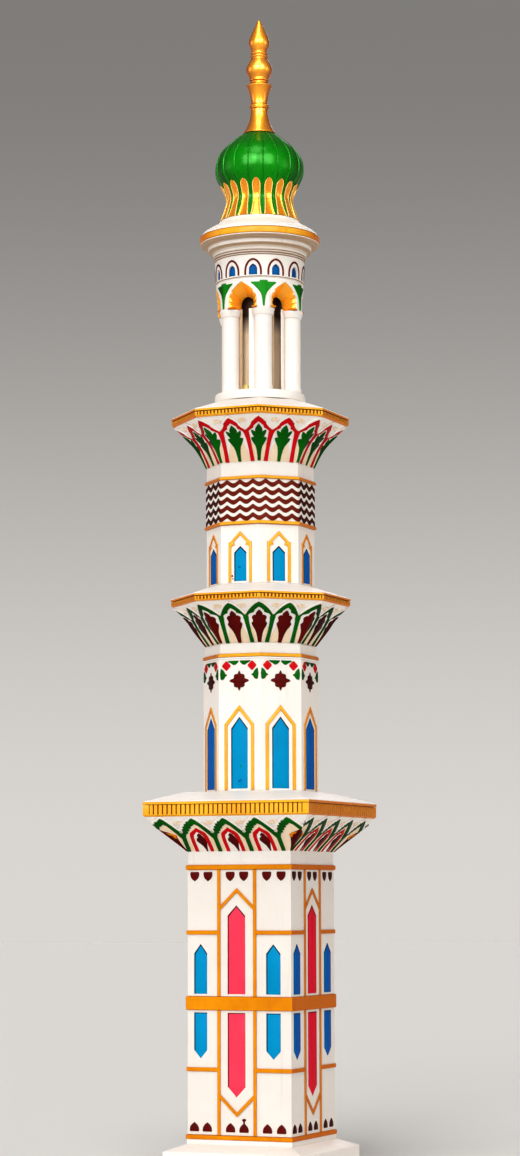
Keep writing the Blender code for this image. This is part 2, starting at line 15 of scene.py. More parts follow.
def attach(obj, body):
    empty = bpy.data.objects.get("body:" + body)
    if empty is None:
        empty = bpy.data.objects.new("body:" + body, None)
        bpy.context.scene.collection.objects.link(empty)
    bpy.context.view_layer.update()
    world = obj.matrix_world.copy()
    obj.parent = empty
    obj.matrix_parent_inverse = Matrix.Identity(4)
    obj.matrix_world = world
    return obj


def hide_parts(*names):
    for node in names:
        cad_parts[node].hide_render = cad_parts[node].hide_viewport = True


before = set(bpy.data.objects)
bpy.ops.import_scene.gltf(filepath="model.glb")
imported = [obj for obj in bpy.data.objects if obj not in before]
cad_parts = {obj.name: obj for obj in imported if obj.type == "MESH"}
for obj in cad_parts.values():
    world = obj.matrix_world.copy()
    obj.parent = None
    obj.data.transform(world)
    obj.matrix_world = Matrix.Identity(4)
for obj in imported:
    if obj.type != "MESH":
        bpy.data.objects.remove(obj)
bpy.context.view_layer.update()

BODY = "root"
MM = 0.001

# Square base
BASE_HALF = 0.2160
BASE_BAND_HALF = 0.2220
SKIRTING_HALF = 0.2190
PLINTH_HALF = 0.2890
PLINTH_EDGE_TOP = 0.1000
PLINTH_TOP = 0.1260
SKIRTING_TOP = 0.1440
BOTTOM_BAND_TOP = 0.1613
MIDDLE_BAND_BOTTOM = 0.6314
MIDDLE_BAND_TOP = 0.6834
TOP_BAND_BOTTOM = 1.1650
BASE_TOP = 1.1840
HEARTS_FOOT = 1.1210
HEART_CENTRES = (-0.1855, -0.1295, -0.0360, 0.0206, 0.1164, 0.1762)
BUDS_FOOT = 0.1740
BUD_CENTRES = (-0.1870, -0.1330, -0.0360, 0.0200, 0.1170, 0.1750)
DRIPPING_BUD = 3

# Sunk panels as (centre, width); those on a flank lie flush and are a little wider
LEFT_PANEL = (-0.1610, 0.0545)
MIDDLE_PANEL = (-0.0110, 0.0735)
RIGHT_PANEL = (0.1425, 0.0590)
NICHE_DEPTH = 0.0080
PANEL_DEPTH = 0.0026
PANEL_CLEAR_OF_BAND = 0.0095
FLANK_SPREAD = 0.0090
FLANK_PROUD = 0.0002

# Angles of the faces of square and octagonal parts, and of those that count as flanks
FOUR_FACES = range(0, 360, 90)
EIGHT_FACES = range(0, 360, 45)
FLANK_FACES = (90, 315)

# Balconies: half width of the square one and corner radii of the others
LOWER_FLARE = ((0.2150, 1.2363), (0.2330, 1.2563), (0.3110, 1.3347), (0.3400, 1.3677))
MIDDLE_FLARE = ((0.2130, 2.0385), (0.2630, 2.1030), (0.2900, 2.1420), (0.3430, 2.1939))
UPPER_FLARE = ((0.2100, 2.7449), (0.2350, 2.7950), (0.2670, 2.8400), (0.3400, 2.9116))
FLARE_STEPS = 4
LOWER_CORNICE_HALF = 0.3475
MIDDLE_CORNICE_RADIUS = 0.3545
UPPER_CORNICE_RADIUS = 0.3525
LOWER_CORNICE_TOP = 1.4241
MIDDLE_CORNICE_TOP = 2.2238
UPPER_CORNICE_TOP = 2.9438
LOWER_ROOF_TOP = 1.4650
MIDDLE_ROOF_TOP = 2.2700
UPPER_ROOF_TOP = 3.0010

# Octagonal stages, with radii to the corners; windows as (width, foot, shoulder, apex)
LOWER_RADIUS = 0.2250
LOWER_SHAFT_TOP = 1.9820
LOWER_BAND_TOP = 1.9961
LOWER_BAND_RADIUS = 0.2285
UPPER_RADIUS = 0.2126
UPPER_SHAFT_TOP = 2.4990
STRIPES_BOTTOM = 2.5119
STRIPES_TOP = 2.6764
STRIPES_RADIUS = 0.2140
UPPER_BAND_RADIUS = 0.2215
UPPER_BAND_TOP = 2.6887
LOWER_WINDOW = (0.0700, 1.4750, 1.7060, 1.7510)
UPPER_WINDOW = (0.0520, 2.2780, 2.3900, 2.4150)

# Lantern
LANTERN_TURN = 29.0
BAYS = 6
BAY_TURN = 360 / BAYS
STEP_RADIUS = 0.1830
STEP_EDGE_TOP = 3.0240
LANTERN_FLOOR = 3.0350
COLUMN_CIRCLE = 0.1385
CAPITAL_FOOT = 3.3292
COLUMN_TOP = 3.3610
CORE_RADIUS = 0.0850
PIER_FACE = 0.1220
ARCADE_RADIUS = 0.1736
ARCADE_BORE = 0.1150
ARCADE_TOP = 3.4780
VAULT_CENTRE = 3.3700
# Heights over which the core darkens as painted shade under the vault
VAULT_SHADE_RANGE = (3.27, 3.345)
DRUM_TOP = 3.5700
DRUM_TOP_RADIUS = 0.1780
DRUM_WINDOW_PLANE = 0.1745
DRUM_WINDOW_DEPTH = 0.0060
CORNICE_SOFFIT = 3.6450
CORNICE_RIM_TOP = 3.6720
CORNICE_RADIUS = 0.2390

# One column of the ring stands a little off its regular place
STRAY_COLUMN = 4
STRAY_TURN = 3.0
STRAY_INSET = 0.0060

# Dome and finial
NECK_FOOT = 3.7360
DOME_TOP = 4.0970
GORES = 18
GORE_TURN = 8.5
FINIAL_FOOT_TOP = 4.2080
FINIAL_VASE_TOP = 4.3050
FINIAL_BULB_TOP = 4.4240

# Viewpoint of the photograph
VIEW_AZIMUTH = 23.67
VIEW_DISTANCE = 11.205
VIEW_HEIGHT = 1.053
VIEW_PITCH = 6.40
VIEW_ROLL = -0.16
VIEW_YAW = 0.012
VIEW_LENS = 89.13


# Points and outlines

def place(angle, out, across=0.0, height=0.0):
    """Point at a distance out from the axis towards an angle, moved sideways and up."""
    turn = math.radians(angle)
    return (out * math.sin(turn) + across * math.cos(turn),
            across * math.sin(turn) - out * math.cos(turn), height)


def in_mm(points, base=0.0):
    """Points drawn in millimetres, above a base height."""
    return [(x * MM, base + y * MM) for x, y in points]


def moved(points, along):
    """Points drawn higher up."""
    return [(x, y + along) for x, y in points]


def stretched(points, factor):
    """Points drawn wider or narrower; a factor below zero mirrors them."""
    return [(x * factor, y) for x, y in points]


def mirrored(half):
    """Closed outline from its right half, which starts and ends on the middle line."""
    return list(half) + [(-x, y) for x, y in reversed(half) if x > 1e-9]


def both_sides(half):
    """Open line from its right half, which starts on the middle line."""
    return [(-x, y) for x, y in reversed(half) if x > 1e-9] + list(half)


def horseshoe(outer, inner):
    """Closed outline between two open lines that run the same way."""
    return list(outer) + list(inner)[::-1]


def box(left, right, low, high):
    """Upright rectangle."""
    return [(left, low), (right, low), (right, high), (left, high)]


def smooth_outline(points, steps):
    """Curve through points, with the given number of steps between neighbours."""
    curve = []
    last = len(points) - 1
    for index in range(last):
        near = [points[min(max(index + shift, 0), last)] for shift in (-1, 0, 1, 2)]
        for step in range(steps):
            t = step / steps
            curve.append(tuple(
                0.5 * (2 * s + (e - b) * t + (2 * b - 5 * s + 4 * e - a) * t ** 2
                       + (3 * s - b - 3 * e + a) * t ** 3)
                for b, s, e, a in zip(*near)))
    curve.append(points[last])
    return curve


def eased(points, radius, closed=False):
    """Line with its corners rounded off."""
    result = []
    count = len(points)
    for index, point in enumerate(points):
        if not closed and index in (0, count - 1):
            result.append(point)
            continue
        before = points[index - 1]
        after = points[(index + 1) % count]
        back = (before[0] - point[0], before[1] - point[1])
        ahead = (after[0] - point[0], after[1] - point[1])
        back_length = math.hypot(*back)
        ahead_length = math.hypot(*ahead)
        straight = -(back[0] * ahead[0] + back[1] * ahead[1]) / (back_length * ahead_length)
        if straight > 0.97:
            result.append(point)
            continue
        cut = min(radius, 0.45 * back_length, 0.45 * ahead_length)
        start = (point[0] + back[0] * cut / back_length, point[1] + back[1] * cut / back_length)
        end = (point[0] + ahead[0] * cut / ahead_length, point[1] + ahead[1] * cut / ahead_length)
        for t in (0, 1 / 3, 2 / 3, 1):
            result.append(tuple((1 - t) ** 2 * s + 2 * t * (1 - t) * p + t ** 2 * e
                                for s, p, e in zip(start, point, end)))
    return result


def moved_line(points, distance, closed=False):
    """Line moved to its left by a distance, with mitred corners."""
    count = len(points)
    result = []
    for index, (x, y) in enumerate(points):
        sides = []
        if closed or index > 0:
            sides.append((points[index - 1], (x, y)))
        if closed or index < count - 1:
            sides.append(((x, y), points[(index + 1) % count]))
        normals = []
        for (x0, y0), (x1, y1) in sides:
            length = math.hypot(x1 - x0, y1 - y0) or 1.0
            normals.append(((y0 - y1) / length, (x1 - x0) / length))
        (ax, ay), (bx, by) = normals[0], normals[-1]
        grow = distance / 2 / max(0.30, (1 + ax * bx + ay * by) / 2)
        result.append((x + grow * (ax + bx), y + grow * (ay + by)))
    return result


def run_lengths(points):
    """Distances of the points of a line from its start."""
    lengths = [0.0]
    for (x0, y0), (x1, y1) in zip(points, points[1:]):
        lengths.append(lengths[-1] + math.hypot(x1 - x0, y1 - y0))
    return lengths


def spot_on(points, lengths, along):
    """Point of a line at a length, and the line's slopes there; the lengths grow from point to point."""
    index = 0
    while index < len(lengths) - 2 and along > lengths[index + 1]:
        index += 1
    (x0, y0), (x1, y1) = points[index:index + 2]
    run = lengths[index + 1] - lengths[index]
    t = (along - lengths[index]) / run
    return x0 + (x1 - x0) * t, y0 + (y1 - y0) * t, (x1 - x0) / run, (y1 - y0) / run


def wound(outline):
    """Closed outline that runs counterclockwise."""
    outline = list(outline)
    return outline[::-1] if area(outline) < 0 else outline


def area(outline):
    """Signed area of a closed outline."""
    pairs = zip(outline, outline[1:] + outline[:1])
    return sum(x0 * y1 - x1 * y0 for (x0, y0), (x1, y1) in pairs) / 2


def lancet(width, foot, shoulder, apex, centre=0.0):
    """Pointed panel outline, pointing up or down."""
    half = width / 2
    return [(centre - half, foot), (centre + half, foot), (centre + half, shoulder),
            (centre, apex), (centre - half, shoulder)]


def recess_shade_strip(width, foot, shoulder, apex, centre=0.0, across=0.0036, down=0.0064):
    """Strip of painted shade along the left and top edges of a pointed panel."""
    left = centre - width / 2
    right = centre + width / 2
    if apex > shoulder:
        return [(left, foot), (left + across, foot), (left + across, shoulder - down / 2),
                (centre, apex - down), (right, shoulder - down), (right, shoulder), (centre, apex),
                (left, shoulder)]
    return [(left, shoulder), (left + across, shoulder - across / 2), (left + across, foot - down / 2),
            (right, foot - down / 2), (right, foot), (left, foot)]


# Paints

PAINTS = {}


def feed(tree, node, inputs):
    """Links the inputs of a node to sockets, or sets their values."""
    for name, value in inputs.items():
        if isinstance(value, bpy.types.NodeSocket):
            tree.links.new(value, node.inputs[name])
        else:
            node.inputs[name].default_value = value


def add_node(tree, kind, inputs=None, **properties):
    """Node with some of its inputs and properties set."""
    made = tree.nodes.new(kind)
    for name, value in properties.items():
        setattr(made, name, value)
    feed(tree, made, inputs or {})
    return made


def blend(tree, factor, first, second):
    """Mixed colour of two sockets or plain colours."""
    first, second = [(*tone, 1.0) if isinstance(tone, tuple) else tone for tone in (first, second)]
    return add_node(tree, "ShaderNodeMix", {0: factor, 6: first, 7: second}, data_type="RGBA").outputs[2]


def noise(tree, spot, scale, detail, stretch=None):
    """Noise in object space, stretched along the axes if asked."""
    if stretch:
        spot = add_node(tree, "ShaderNodeMapping", {"Vector": spot, "Scale": stretch}).outputs[0]
    return add_node(tree, "ShaderNodeTexNoise", {"Vector": spot, "Scale": scale, "Detail": detail,
                                                 "Roughness": 0.55}).outputs["Fac"]


def remap(tree, value, low, high, out_low=0.0, out_high=1.0, **properties):
    """Value moved from one range to another and clamped."""
    return add_node(tree, "ShaderNodeMapRange", {"Value": value, "From Min": low, "From Max": high,
                                                 "To Min": out_low, "To Max": out_high},
                    **properties).outputs[0]


def split(tree, vector):
    """Height part of a vector."""
    return add_node(tree, "ShaderNodeSeparateXYZ", {0: vector}).outputs[2]


def paint(name, colour, deep, grime_and_shade, roughness, metallic=0.0, coat=0.0, soil_and_shade=0.35, brush=0.25, gloss=0.25,
          side_shade=None, underside_shade=None, underside_shade_range=(-0.70, -0.97), vault_shade=None):
    """Brushed masonry paint: tone drifts, faint rain streaks, painted shade in the corners, brush and cast
    bumps.

    A darker tone is painted on faces turned away from the front, as painted shade; surfaces that face
    downwards, and the core under the vault, are darkened as painted shade too.
    """
    material = bpy.data.materials.new(name + "_look")
    material.use_nodes = True
    tree = material.node_tree
    spot = add_node(tree, "ShaderNodeTexCoord").outputs["Object"]
    normal = add_node(tree, "ShaderNodeNewGeometry").outputs["Normal"]
    drift = noise(tree, spot, 7.0, 4.0)
    mottle = noise(tree, spot, 60.0, 6.0)
    streaks = noise(tree, spot, 1.0, 5.0, (55.0, 55.0, 3.5))
    tone = blend(tree, remap(tree, drift, 0.35, 0.70), colour, deep)
    tone = blend(tree, remap(tree, mottle, 0.55, 0.80, 0.0, 0.45), tone, deep)
    # Painted shade: faces turned away from the front take a darker tone
    if side_shade:
        facing_front = add_node(tree, "ShaderNodeVectorMath", {0: normal, 1: place(22.5, 1.0)},
                         operation="DOT_PRODUCT")
        tone = blend(tree, remap(tree, facing_front.outputs["Value"], 0.86, 0.42), tone, side_shade)
    tone = blend(tree, remap(tree, streaks, 0.58, 0.85, 0.0, 0.30 * soil_and_shade), tone, grime_and_shade)
    # Painted shade: surfaces that face downwards are darkened
    if underside_shade:
        tone = blend(tree, remap(tree, split(tree, normal), *underside_shade_range, 0.0, 0.85), tone, underside_shade)
    # Painted shade: corners, creases and recesses are darkened by ambient occlusion
    corner = add_node(tree, "ShaderNodeAmbientOcclusion", {"Distance": 0.012}, samples=6)
    tone = blend(tree, remap(tree, corner.outputs["AO"], 0.80, 0.20, 0.0, soil_and_shade), tone, grime_and_shade)
    # Painted shade: the tone darkens over a height range under the vault
    if vault_shade:
        tone = blend(tree, remap(tree, split(tree, spot), *VAULT_SHADE_RANGE), tone, vault_shade)
    cast = add_node(tree, "ShaderNodeBump", {"Strength": brush, "Distance": 0.0030,
                                             "Height": noise(tree, spot, 26.0, 3.0)})
    strokes = noise(tree, spot, 1.0, 4.0, (420.0, 420.0, 45.0))
    bumps = add_node(tree, "ShaderNodeBump", {"Strength": brush * 0.6, "Distance": 0.0006,
                                              "Height": strokes, "Normal": cast.outputs[0]})
    dull = remap(tree, mottle, 0.3, 0.7, roughness - 0.2 * brush - 0.02, roughness + 0.3 * brush + 0.02)
    feed(tree, tree.nodes["Principled BSDF"], {
        "Base Color": tone, "Roughness": dull, "Metallic": metallic, "Specular IOR Level": gloss,
        "Coat Weight": coat, "Coat Roughness": 0.12, "Normal": bumps.outputs[0]})
    PAINTS[name] = material


def make_paints():
    """Every paint by its name: first the common ones, which are slots too, then those of single pieces."""
    earth_and_shade = (0.42, 0.26, 0.14)
    shaded = dict(roughness=0.5, soil_and_shade=0.5, brush=0.1, gloss=0.02)
    glossy = dict(brush=0.005, gloss=0.4)
    paint("white_paint", (0.872, 0.857, 0.833), (0.83, 0.80, 0.76), earth_and_shade, 0.50, soil_and_shade=0.50, brush=0.20,
          underside_shade=(0.52, 0.37, 0.23), side_shade=(0.865, 0.820, 0.780))
    paint("gilt_paint", (0.80, 0.325, 0.003), (0.66, 0.225, 0.002), (0.15, 0.030, 0.001), 0.34, soil_and_shade=0.98,
          brush=0.18, gloss=0.05, side_shade=(0.62, 0.165, 0.001))
    paint("finial_gilt", (0.96, 0.45, 0.050), (0.90, 0.36, 0.018), (0.30, 0.07, 0.006), 0.33,
          metallic=0.60, coat=0.40, soil_and_shade=0.6, brush=0.010, gloss=0.4, side_shade=(0.42, 0.105, 0.003))
    paint("dome_green", (0.003, 0.320, 0.003), (0.002, 0.260, 0.003), (0.001, 0.02, 0.001), 0.27,
          metallic=0.08, soil_and_shade=0.9, brush=0.008, gloss=0.16, side_shade=(0.001, 0.095, 0.001))
    paint("blue_paint", (0.001, 0.32, 0.60), (0.001, 0.29, 0.55), (0.001, 0.045, 0.14), 0.40, soil_and_shade=0.9,
          brush=0.14, gloss=0.02, side_shade=(0.001, 0.120, 0.45))
    paint("pink_paint", (0.86, 0.075, 0.140), (0.82, 0.055, 0.115), (0.26, 0.004, 0.012), 0.40, soil_and_shade=0.9,
          brush=0.14, gloss=0.02, side_shade=(0.74, 0.008, 0.040))
    paint("red_paint", (0.68, 0.006, 0.014), (0.58, 0.004, 0.010), (0.17, 0.002, 0.002), 0.38, soil_and_shade=0.8,
          brush=0.14, gloss=0.04, side_shade=(0.48, 0.002, 0.005))
    paint("maroon_paint", (0.155, 0.006, 0.004), (0.105, 0.004, 0.003), (0.02, 0.001, 0.001), 0.40,
          soil_and_shade=0.7, brush=0.16, gloss=0.04, side_shade=(0.040, 0.001, 0.001))
    paint("leaf_green_paint", (0.003, 0.165, 0.005), (0.002, 0.105, 0.003), (0.001, 0.018, 0.001), 0.38,
          soil_and_shade=0.7, brush=0.14, gloss=0.04, side_shade=(0.001, 0.050, 0.002))
    paint("cream_paint", (0.87, 0.74, 0.57), (0.81, 0.64, 0.45), (0.42, 0.24, 0.11), 0.50, soil_and_shade=0.6,
          brush=0.18)
    # Cornice white, darkened on faces that look downwards as painted shade
    paint("sheltered_white", (0.87, 0.85, 0.82), (0.80, 0.75, 0.69), (0.34, 0.17, 0.07), 0.50, soil_and_shade=0.85,
          brush=0.20, underside_shade=(0.40, 0.25, 0.13), underside_shade_range=(-0.05, -0.70))
    # Darker copy of the white paint for the base walls, as painted shade
    paint("base_shade_white", (0.800, 0.765, 0.730), (0.765, 0.725, 0.680), earth_and_shade, 0.50, soil_and_shade=0.50,
          brush=0.20, side_shade=(0.83, 0.785, 0.745))
    paint("deep_blue", (0.001, 0.165, 0.48), (0.001, 0.12, 0.38), (0.001, 0.02, 0.08), 0.36, soil_and_shade=0.95,
          brush=0.10, gloss=0.03, side_shade=(0.001, 0.060, 0.28))
    paint("bright_green", (0.004, 0.32, 0.008), (0.003, 0.24, 0.006), (0.001, 0.03, 0.001), 0.36,
          soil_and_shade=0.8, brush=0.08, gloss=0.06, side_shade=(0.001, 0.085, 0.002))
    paint("brown_red", (0.21, 0.024, 0.008), (0.155, 0.016, 0.005), (0.04, 0.005, 0.002), 0.42, soil_and_shade=0.6,
          brush=0.14, gloss=0.04, side_shade=(0.050, 0.003, 0.001))
    paint("vault_gold", (0.98, 0.46, 0.030), (0.96, 0.42, 0.022), (0.40, 0.10, 0.004), 0.30,
          metallic=0.35, coat=0.25, soil_and_shade=0.10, **glossy)
    paint("petal_gold", (0.93, 0.37, 0.014), (0.90, 0.33, 0.011), (0.40, 0.10, 0.004), 0.27,
          metallic=0.50, coat=0.30, soil_and_shade=0.15, **glossy)
    # Paler gold of the petals' lips, as painted highlight
    paint("lip_highlight_gold", (1.0, 0.78, 0.30), (0.98, 0.70, 0.22), (0.5, 0.2, 0.03), 0.35, soil_and_shade=0.1,
          brush=0.01, gloss=0.2)
    paint("fascia_gold", (0.92, 0.52, 0.035), (0.86, 0.41, 0.018), (0.16, 0.030, 0.001), 0.30, soil_and_shade=0.98,
          brush=0.14, gloss=0.16, side_shade=(0.66, 0.200, 0.003))
    # Darker gold of the sunk bands behind the teeth, as painted shade
    paint("slot_gold", (0.72, 0.27, 0.008), (0.60, 0.20, 0.005), (0.30, 0.07, 0.003), **shaded)
    paint("shaded_blue", (0.001, 0.020, 0.070), (0.001, 0.015, 0.050), (0.001, 0.01, 0.03), **shaded)
    paint("shaded_pink", (0.16, 0.003, 0.010), (0.12, 0.002, 0.008), (0.06, 0.001, 0.003), **shaded)
    # Tan for the right halves of the piers, as painted shade
    paint("tan", (0.66, 0.50, 0.35), (0.55, 0.40, 0.26), (0.24, 0.13, 0.06), 0.55, soil_and_shade=0.6, brush=0.2,
          gloss=0.1)
    paint("pale_yellow", (1.0, 0.90, 0.42), (0.98, 0.84, 0.32), (0.5, 0.3, 0.08), 0.5, soil_and_shade=0.2,
          brush=0.1, gloss=0.1)
    # Tan of the core, darker under the vault, as painted shade
    paint("core_stone", (0.93, 0.77, 0.58), (0.85, 0.67, 0.48), (0.36, 0.20, 0.09), 0.6, soil_and_shade=0.5,
          brush=0.3, vault_shade=(0.050, 0.012, 0.003))


make_paints()


# Pieces

def settle(obj, slot, replaced=(), smooth=35.0, look=None):
    """Shades and paints a finished piece, hangs it on the body and hides the CAD nodes it replaces; a look is
    a paint other than its slot's.
    """
    mesh = obj.data
    mesh.materials.clear()
    mesh.materials.append(PAINTS[look or slot])
    mesh.shade_smooth()
    if smooth:
        mesh.set_sharp_from_angle(angle=math.radians(smooth))
    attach(obj, BODY)
    if replaced:
        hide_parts(*replaced)
    return obj


def add_object(name, points, faces, slot, replaced=(), smooth=35.0, look=None):
    """Object from points and faces, settled as a piece that may stand for CAD nodes."""
    mesh = bpy.data.meshes.new(name)
    mesh.from_pydata(points, [], faces)
    mesh.update()
    obj = bpy.data.objects.new(name, mesh)
    bpy.context.collection.objects.link(obj)
    return settle(obj, slot, replaced, smooth, look)


def evened(obj, bevel=0.0, angle=20.0):
    """Evens the shading of a piece, and rounds its sharp edges if asked."""
    if bevel:
        rounding = obj.modifiers.new("rounded_edges", "BEVEL")
        rounding.width = bevel
        rounding.segments = 2
        rounding.limit_method = "ANGLE"
        rounding.angle_limit = math.radians(angle)
    flat = obj.modifiers.new("even_shading", "WEIGHTED_NORMAL")
    flat.keep_sharp = True
    return obj


def lofted(rows):
    """Skin over closed rings of points, capped at both ends; a last ring of one point is a tip."""
    points = []
    faces = []
    for lower, upper in zip(rows, rows[1:]):
        here = len(points)
        count = len(lower)
        there = here + count
        points += lower
        for side in range(count):
            after = (side + 1) % count
            if len(upper) == 1:
                faces.append((here + side, here + after, there))
            else:
                faces.append((here + side, here + after, there + after, there + side))
    points += rows[-1]
    faces.append(tuple(reversed(range(len(rows[0])))))
    if len(rows[-1]) > 1:
        faces.append(tuple(range(there, len(points))))
    return points, faces


def turned(name, profile, slot, replaced=(), sides=144, centre=(0.0, 0.0), edge=0.0012, look=None):
    """Round piece from (radius, height) points; a radius of zero closes in a point."""
    rows = []
    for radius, height in eased(profile, edge) if edge else profile:
        ring = [place(360 * side / sides, radius) for side in range(sides if radius > 1e-6 else 1)]
        rows.append([(centre[0] + x, centre[1] + y, height) for x, y, _ in ring])
    return add_object(name, *lofted(rows), slot, replaced, 40.0, look)


def face_ratio(sides):
    """Distance of a face for each unit of size; octagons are sized to their corners, squares to faces."""
    return 1.0 if sides == 4 else math.cos(math.pi / sides)


def plan(sides, apothem, ease):
    """Regular plan with rounded corners and a face towards the front."""
    points = []
    step = 360 / sides
    centre = (apothem - ease) / math.cos(math.radians(step / 2))
    for side in range(sides):
        corner = step * (side + 0.5)
        cx, cy, _ = place(corner, centre)
        for part in (-0.5, -0.17, 0.17, 0.5):
            dx, dy, _ = place(corner + part * step, ease)
            points.append((cx + dx, cy + dy))
    return points


def masonry(name, profile, sides, slot, replaced, ease=0.0020, edge=0.0015, look=None):
    """Stack of rounded regular plans; the profile holds (size, height) from the bottom up."""
    ratio = face_ratio(sides)
    outline = [(size * ratio, height) for size, height in profile]
    rows = [[(x, y, height) for x, y in plan(sides, apothem, ease)]
            for apothem, height in (eased(outline, edge) if edge else outline)]
    return evened(add_object(name, *lofted(rows), slot, replaced, 50.0, look))


def welded(obj, merge_flat):
    """Joins double points, then merges flat faces or turns all faces outwards."""
    bm = bmesh.new()
    bm.from_mesh(obj.data)
    bmesh.ops.remove_doubles(bm, verts=bm.verts[:], dist=1e-6)
    if merge_flat:
        bmesh.ops.dissolve_limit(bm, angle_limit=math.radians(1), verts=bm.verts[:], edges=bm.edges[:])
    else:
        bmesh.ops.recalc_face_normals(bm, faces=bm.faces[:])
    bm.to_mesh(obj.data)
    bm.free()


def softened(node, name, slot, look=None):
    """Copy of a CAD node with its edges rounded."""
    obj = bpy.data.objects.new(name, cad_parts[node].data.copy())
    bpy.context.collection.objects.link(obj)
    welded(obj, True)
    return evened(settle(obj, slot, (node,), 0, look), 0.0012)


# Sheets: flat shapes with a rounded edge, cut where the surface under them bends

def sliced(bm, point, normal, clear=False):
    """Cuts a working mesh along a plane."""
    bmesh.ops.bisect_plane(bm, geom=bm.verts[:] + bm.edges[:] + bm.faces[:], dist=1e-7,
                           plane_co=point, plane_no=normal, clear_outer=clear)


def taken(bm):
    """Points and faces of a working mesh, which is then freed."""
    bm.verts.index_update()
    points = [tuple(vert.co) for vert in bm.verts]
    faces = [tuple(vert.index for vert in face.verts) for face in bm.faces]
    bm.free()
    return points, faces


def plate(outline, top, ease=0.0008, base=-0.0010, cuts=(), fold=False, ridge=None, columns=()):
    """Flat raised shape as (points, faces), cut along rows and columns where its surface bends.

    The ridge is a (height, half width) crest along the middle line.
    """
    outline = wound(outline)
    loops = [(outline, base), (outline, top - ease),
             (moved_line(outline, 0.3 * ease, True), top - 0.3 * ease),
             (moved_line(outline, ease, True), top)]
    bm = bmesh.new()
    rings = [[bm.verts.new((x, y, out)) for x, y in loop] for loop, out in loops]
    count = len(outline)
    for lower, upper in zip(rings, rings[1:]):
        for corner in range(count):
            after = (corner + 1) % count
            bm.faces.new((lower[corner], lower[after], upper[after], upper[corner]))
    crown = rings[-1]
    for triangle in tessellate_polygon([[vert.co for vert in crown]]):
        corners = [crown[corner] for corner in sorted(triangle)]
        if area([corner.co.to_2d() for corner in corners]) > 1e-12:
            bm.faces.new(corners)
    levels = [y for _, y in outline]
    for cut in cuts:
        if min(levels) < cut < max(levels):
            sliced(bm, (0, cut, 0), (0, 1, 0))
    crest = (-ridge[1], ridge[1]) if ridge else ()
    for column in (*columns, *((0,) if fold else ()), *crest):
        sliced(bm, (column, 0, 0), (1, 0, 0))
    if ridge:
        for vert in bm.verts:
            if vert.co.z > top - 1.1 * ease:
                vert.co.z += ridge[0] * max(0.0, 1 - abs(vert.co.x) / ridge[1])
    return taken(bm)


def prism(outline, low, high):
    """Closed straight prism for cutting."""
    outline = wound(outline)
    return lofted([[(x, y, level) for x, y in outline] for level in (low, high)])


def trimmed(points, faces, angles):
    """Shape cut off by upright planes through the axis: keeps what lies between the two angles."""
    bm = bmesh.new()
    verts = [bm.verts.new(point) for point in points]
    for face in faces:
        bm.faces.new([verts[corner] for corner in face])
    for angle, side in zip(angles, (-1, 1)):
        turn = math.radians(angle)
        sliced(bm, (0, 0, 0), (side * math.cos(turn), side * math.sin(turn), 0), True)
    return taken(bm)


def merged(items):
    """Many shapes in one, each laid on its surface; an item may name two angles that trim it."""
    points = []
    faces = []
    for (flat, polygons), surface, *trims in items:
        laid = [surface(*point) for point in flat]
        if trims:
            laid, polygons = trimmed(laid, polygons, trims[0])
        offset = len(points)
        points += laid
        faces += [tuple(offset + corner for corner in polygon) for polygon in polygons]
    return points, faces


def lay(name, items, slot, look=None):
    """One piece from many shapes laid on surfaces."""
    return add_object(name, *merged(items), slot, look=look)


# Surfaces: each takes (across, along, out) and gives a point in the frame

def wall(angle, distance):
    """Upright flat wall facing an angle; along is the height above the ground."""
    return lambda across, along, out: place(angle, distance + out, across, along)


def drum(angle, radius, foot=0.0):
    """Upright round wall; across runs along the arc, and radius may depend on the height."""
    def surface(across, along, out):
        around = radius(foot + along) if callable(radius) else radius
        return place(angle + math.degrees(across / around), around + out, 0.0, foot + along)
    return surface


def shifted(surface, sideways, up=0.0):
    """Surface with its drawing moved."""
    return lambda across, along, out: surface(across + sideways, along + up, out)


class Flare:
    """Flared underside of a balcony with a regular plan; along is measured up its slope."""

    def __init__(self, outline, sides):
        self.half_angle = 180 / sides
        self.points = [(size * face_ratio(sides), height)
                       for size, height in smooth_outline(outline, FLARE_STEPS)]
        self.lengths = run_lengths(self.points)

    def at(self, along):
        """Distance from the axis, height and outward direction at a length up the slope."""
        apothem, height, spread, rise = spot_on(self.points, self.lengths, along)
        return apothem, height, rise, -spread

    def half_width(self, along):
        """Half the width of one face at a length up the slope."""
        return self.at(along)[0] * math.tan(math.radians(self.half_angle))

    def on_face(self, angle, centre=0.0):
        """Surface of one face, with its middle line moved sideways."""
        def surface(across, along, out):
            apothem, height, outward, upward = self.at(along)
            return place(angle, apothem + out * outward, centre + across, height + out * upward)
        return surface

    def on_hip(self, angle):
        """Surface folded over the hip at an angle."""
        def surface(across, along, out):
            apothem, height, outward, upward = self.at(along)
            apothem += out * outward
            half = apothem * math.tan(math.radians(self.half_angle))
            side = -1 if across < 0 else 1
            return place(angle + side * self.half_angle, apothem, across - side * half, height + out * upward)
        return surface


# Square base

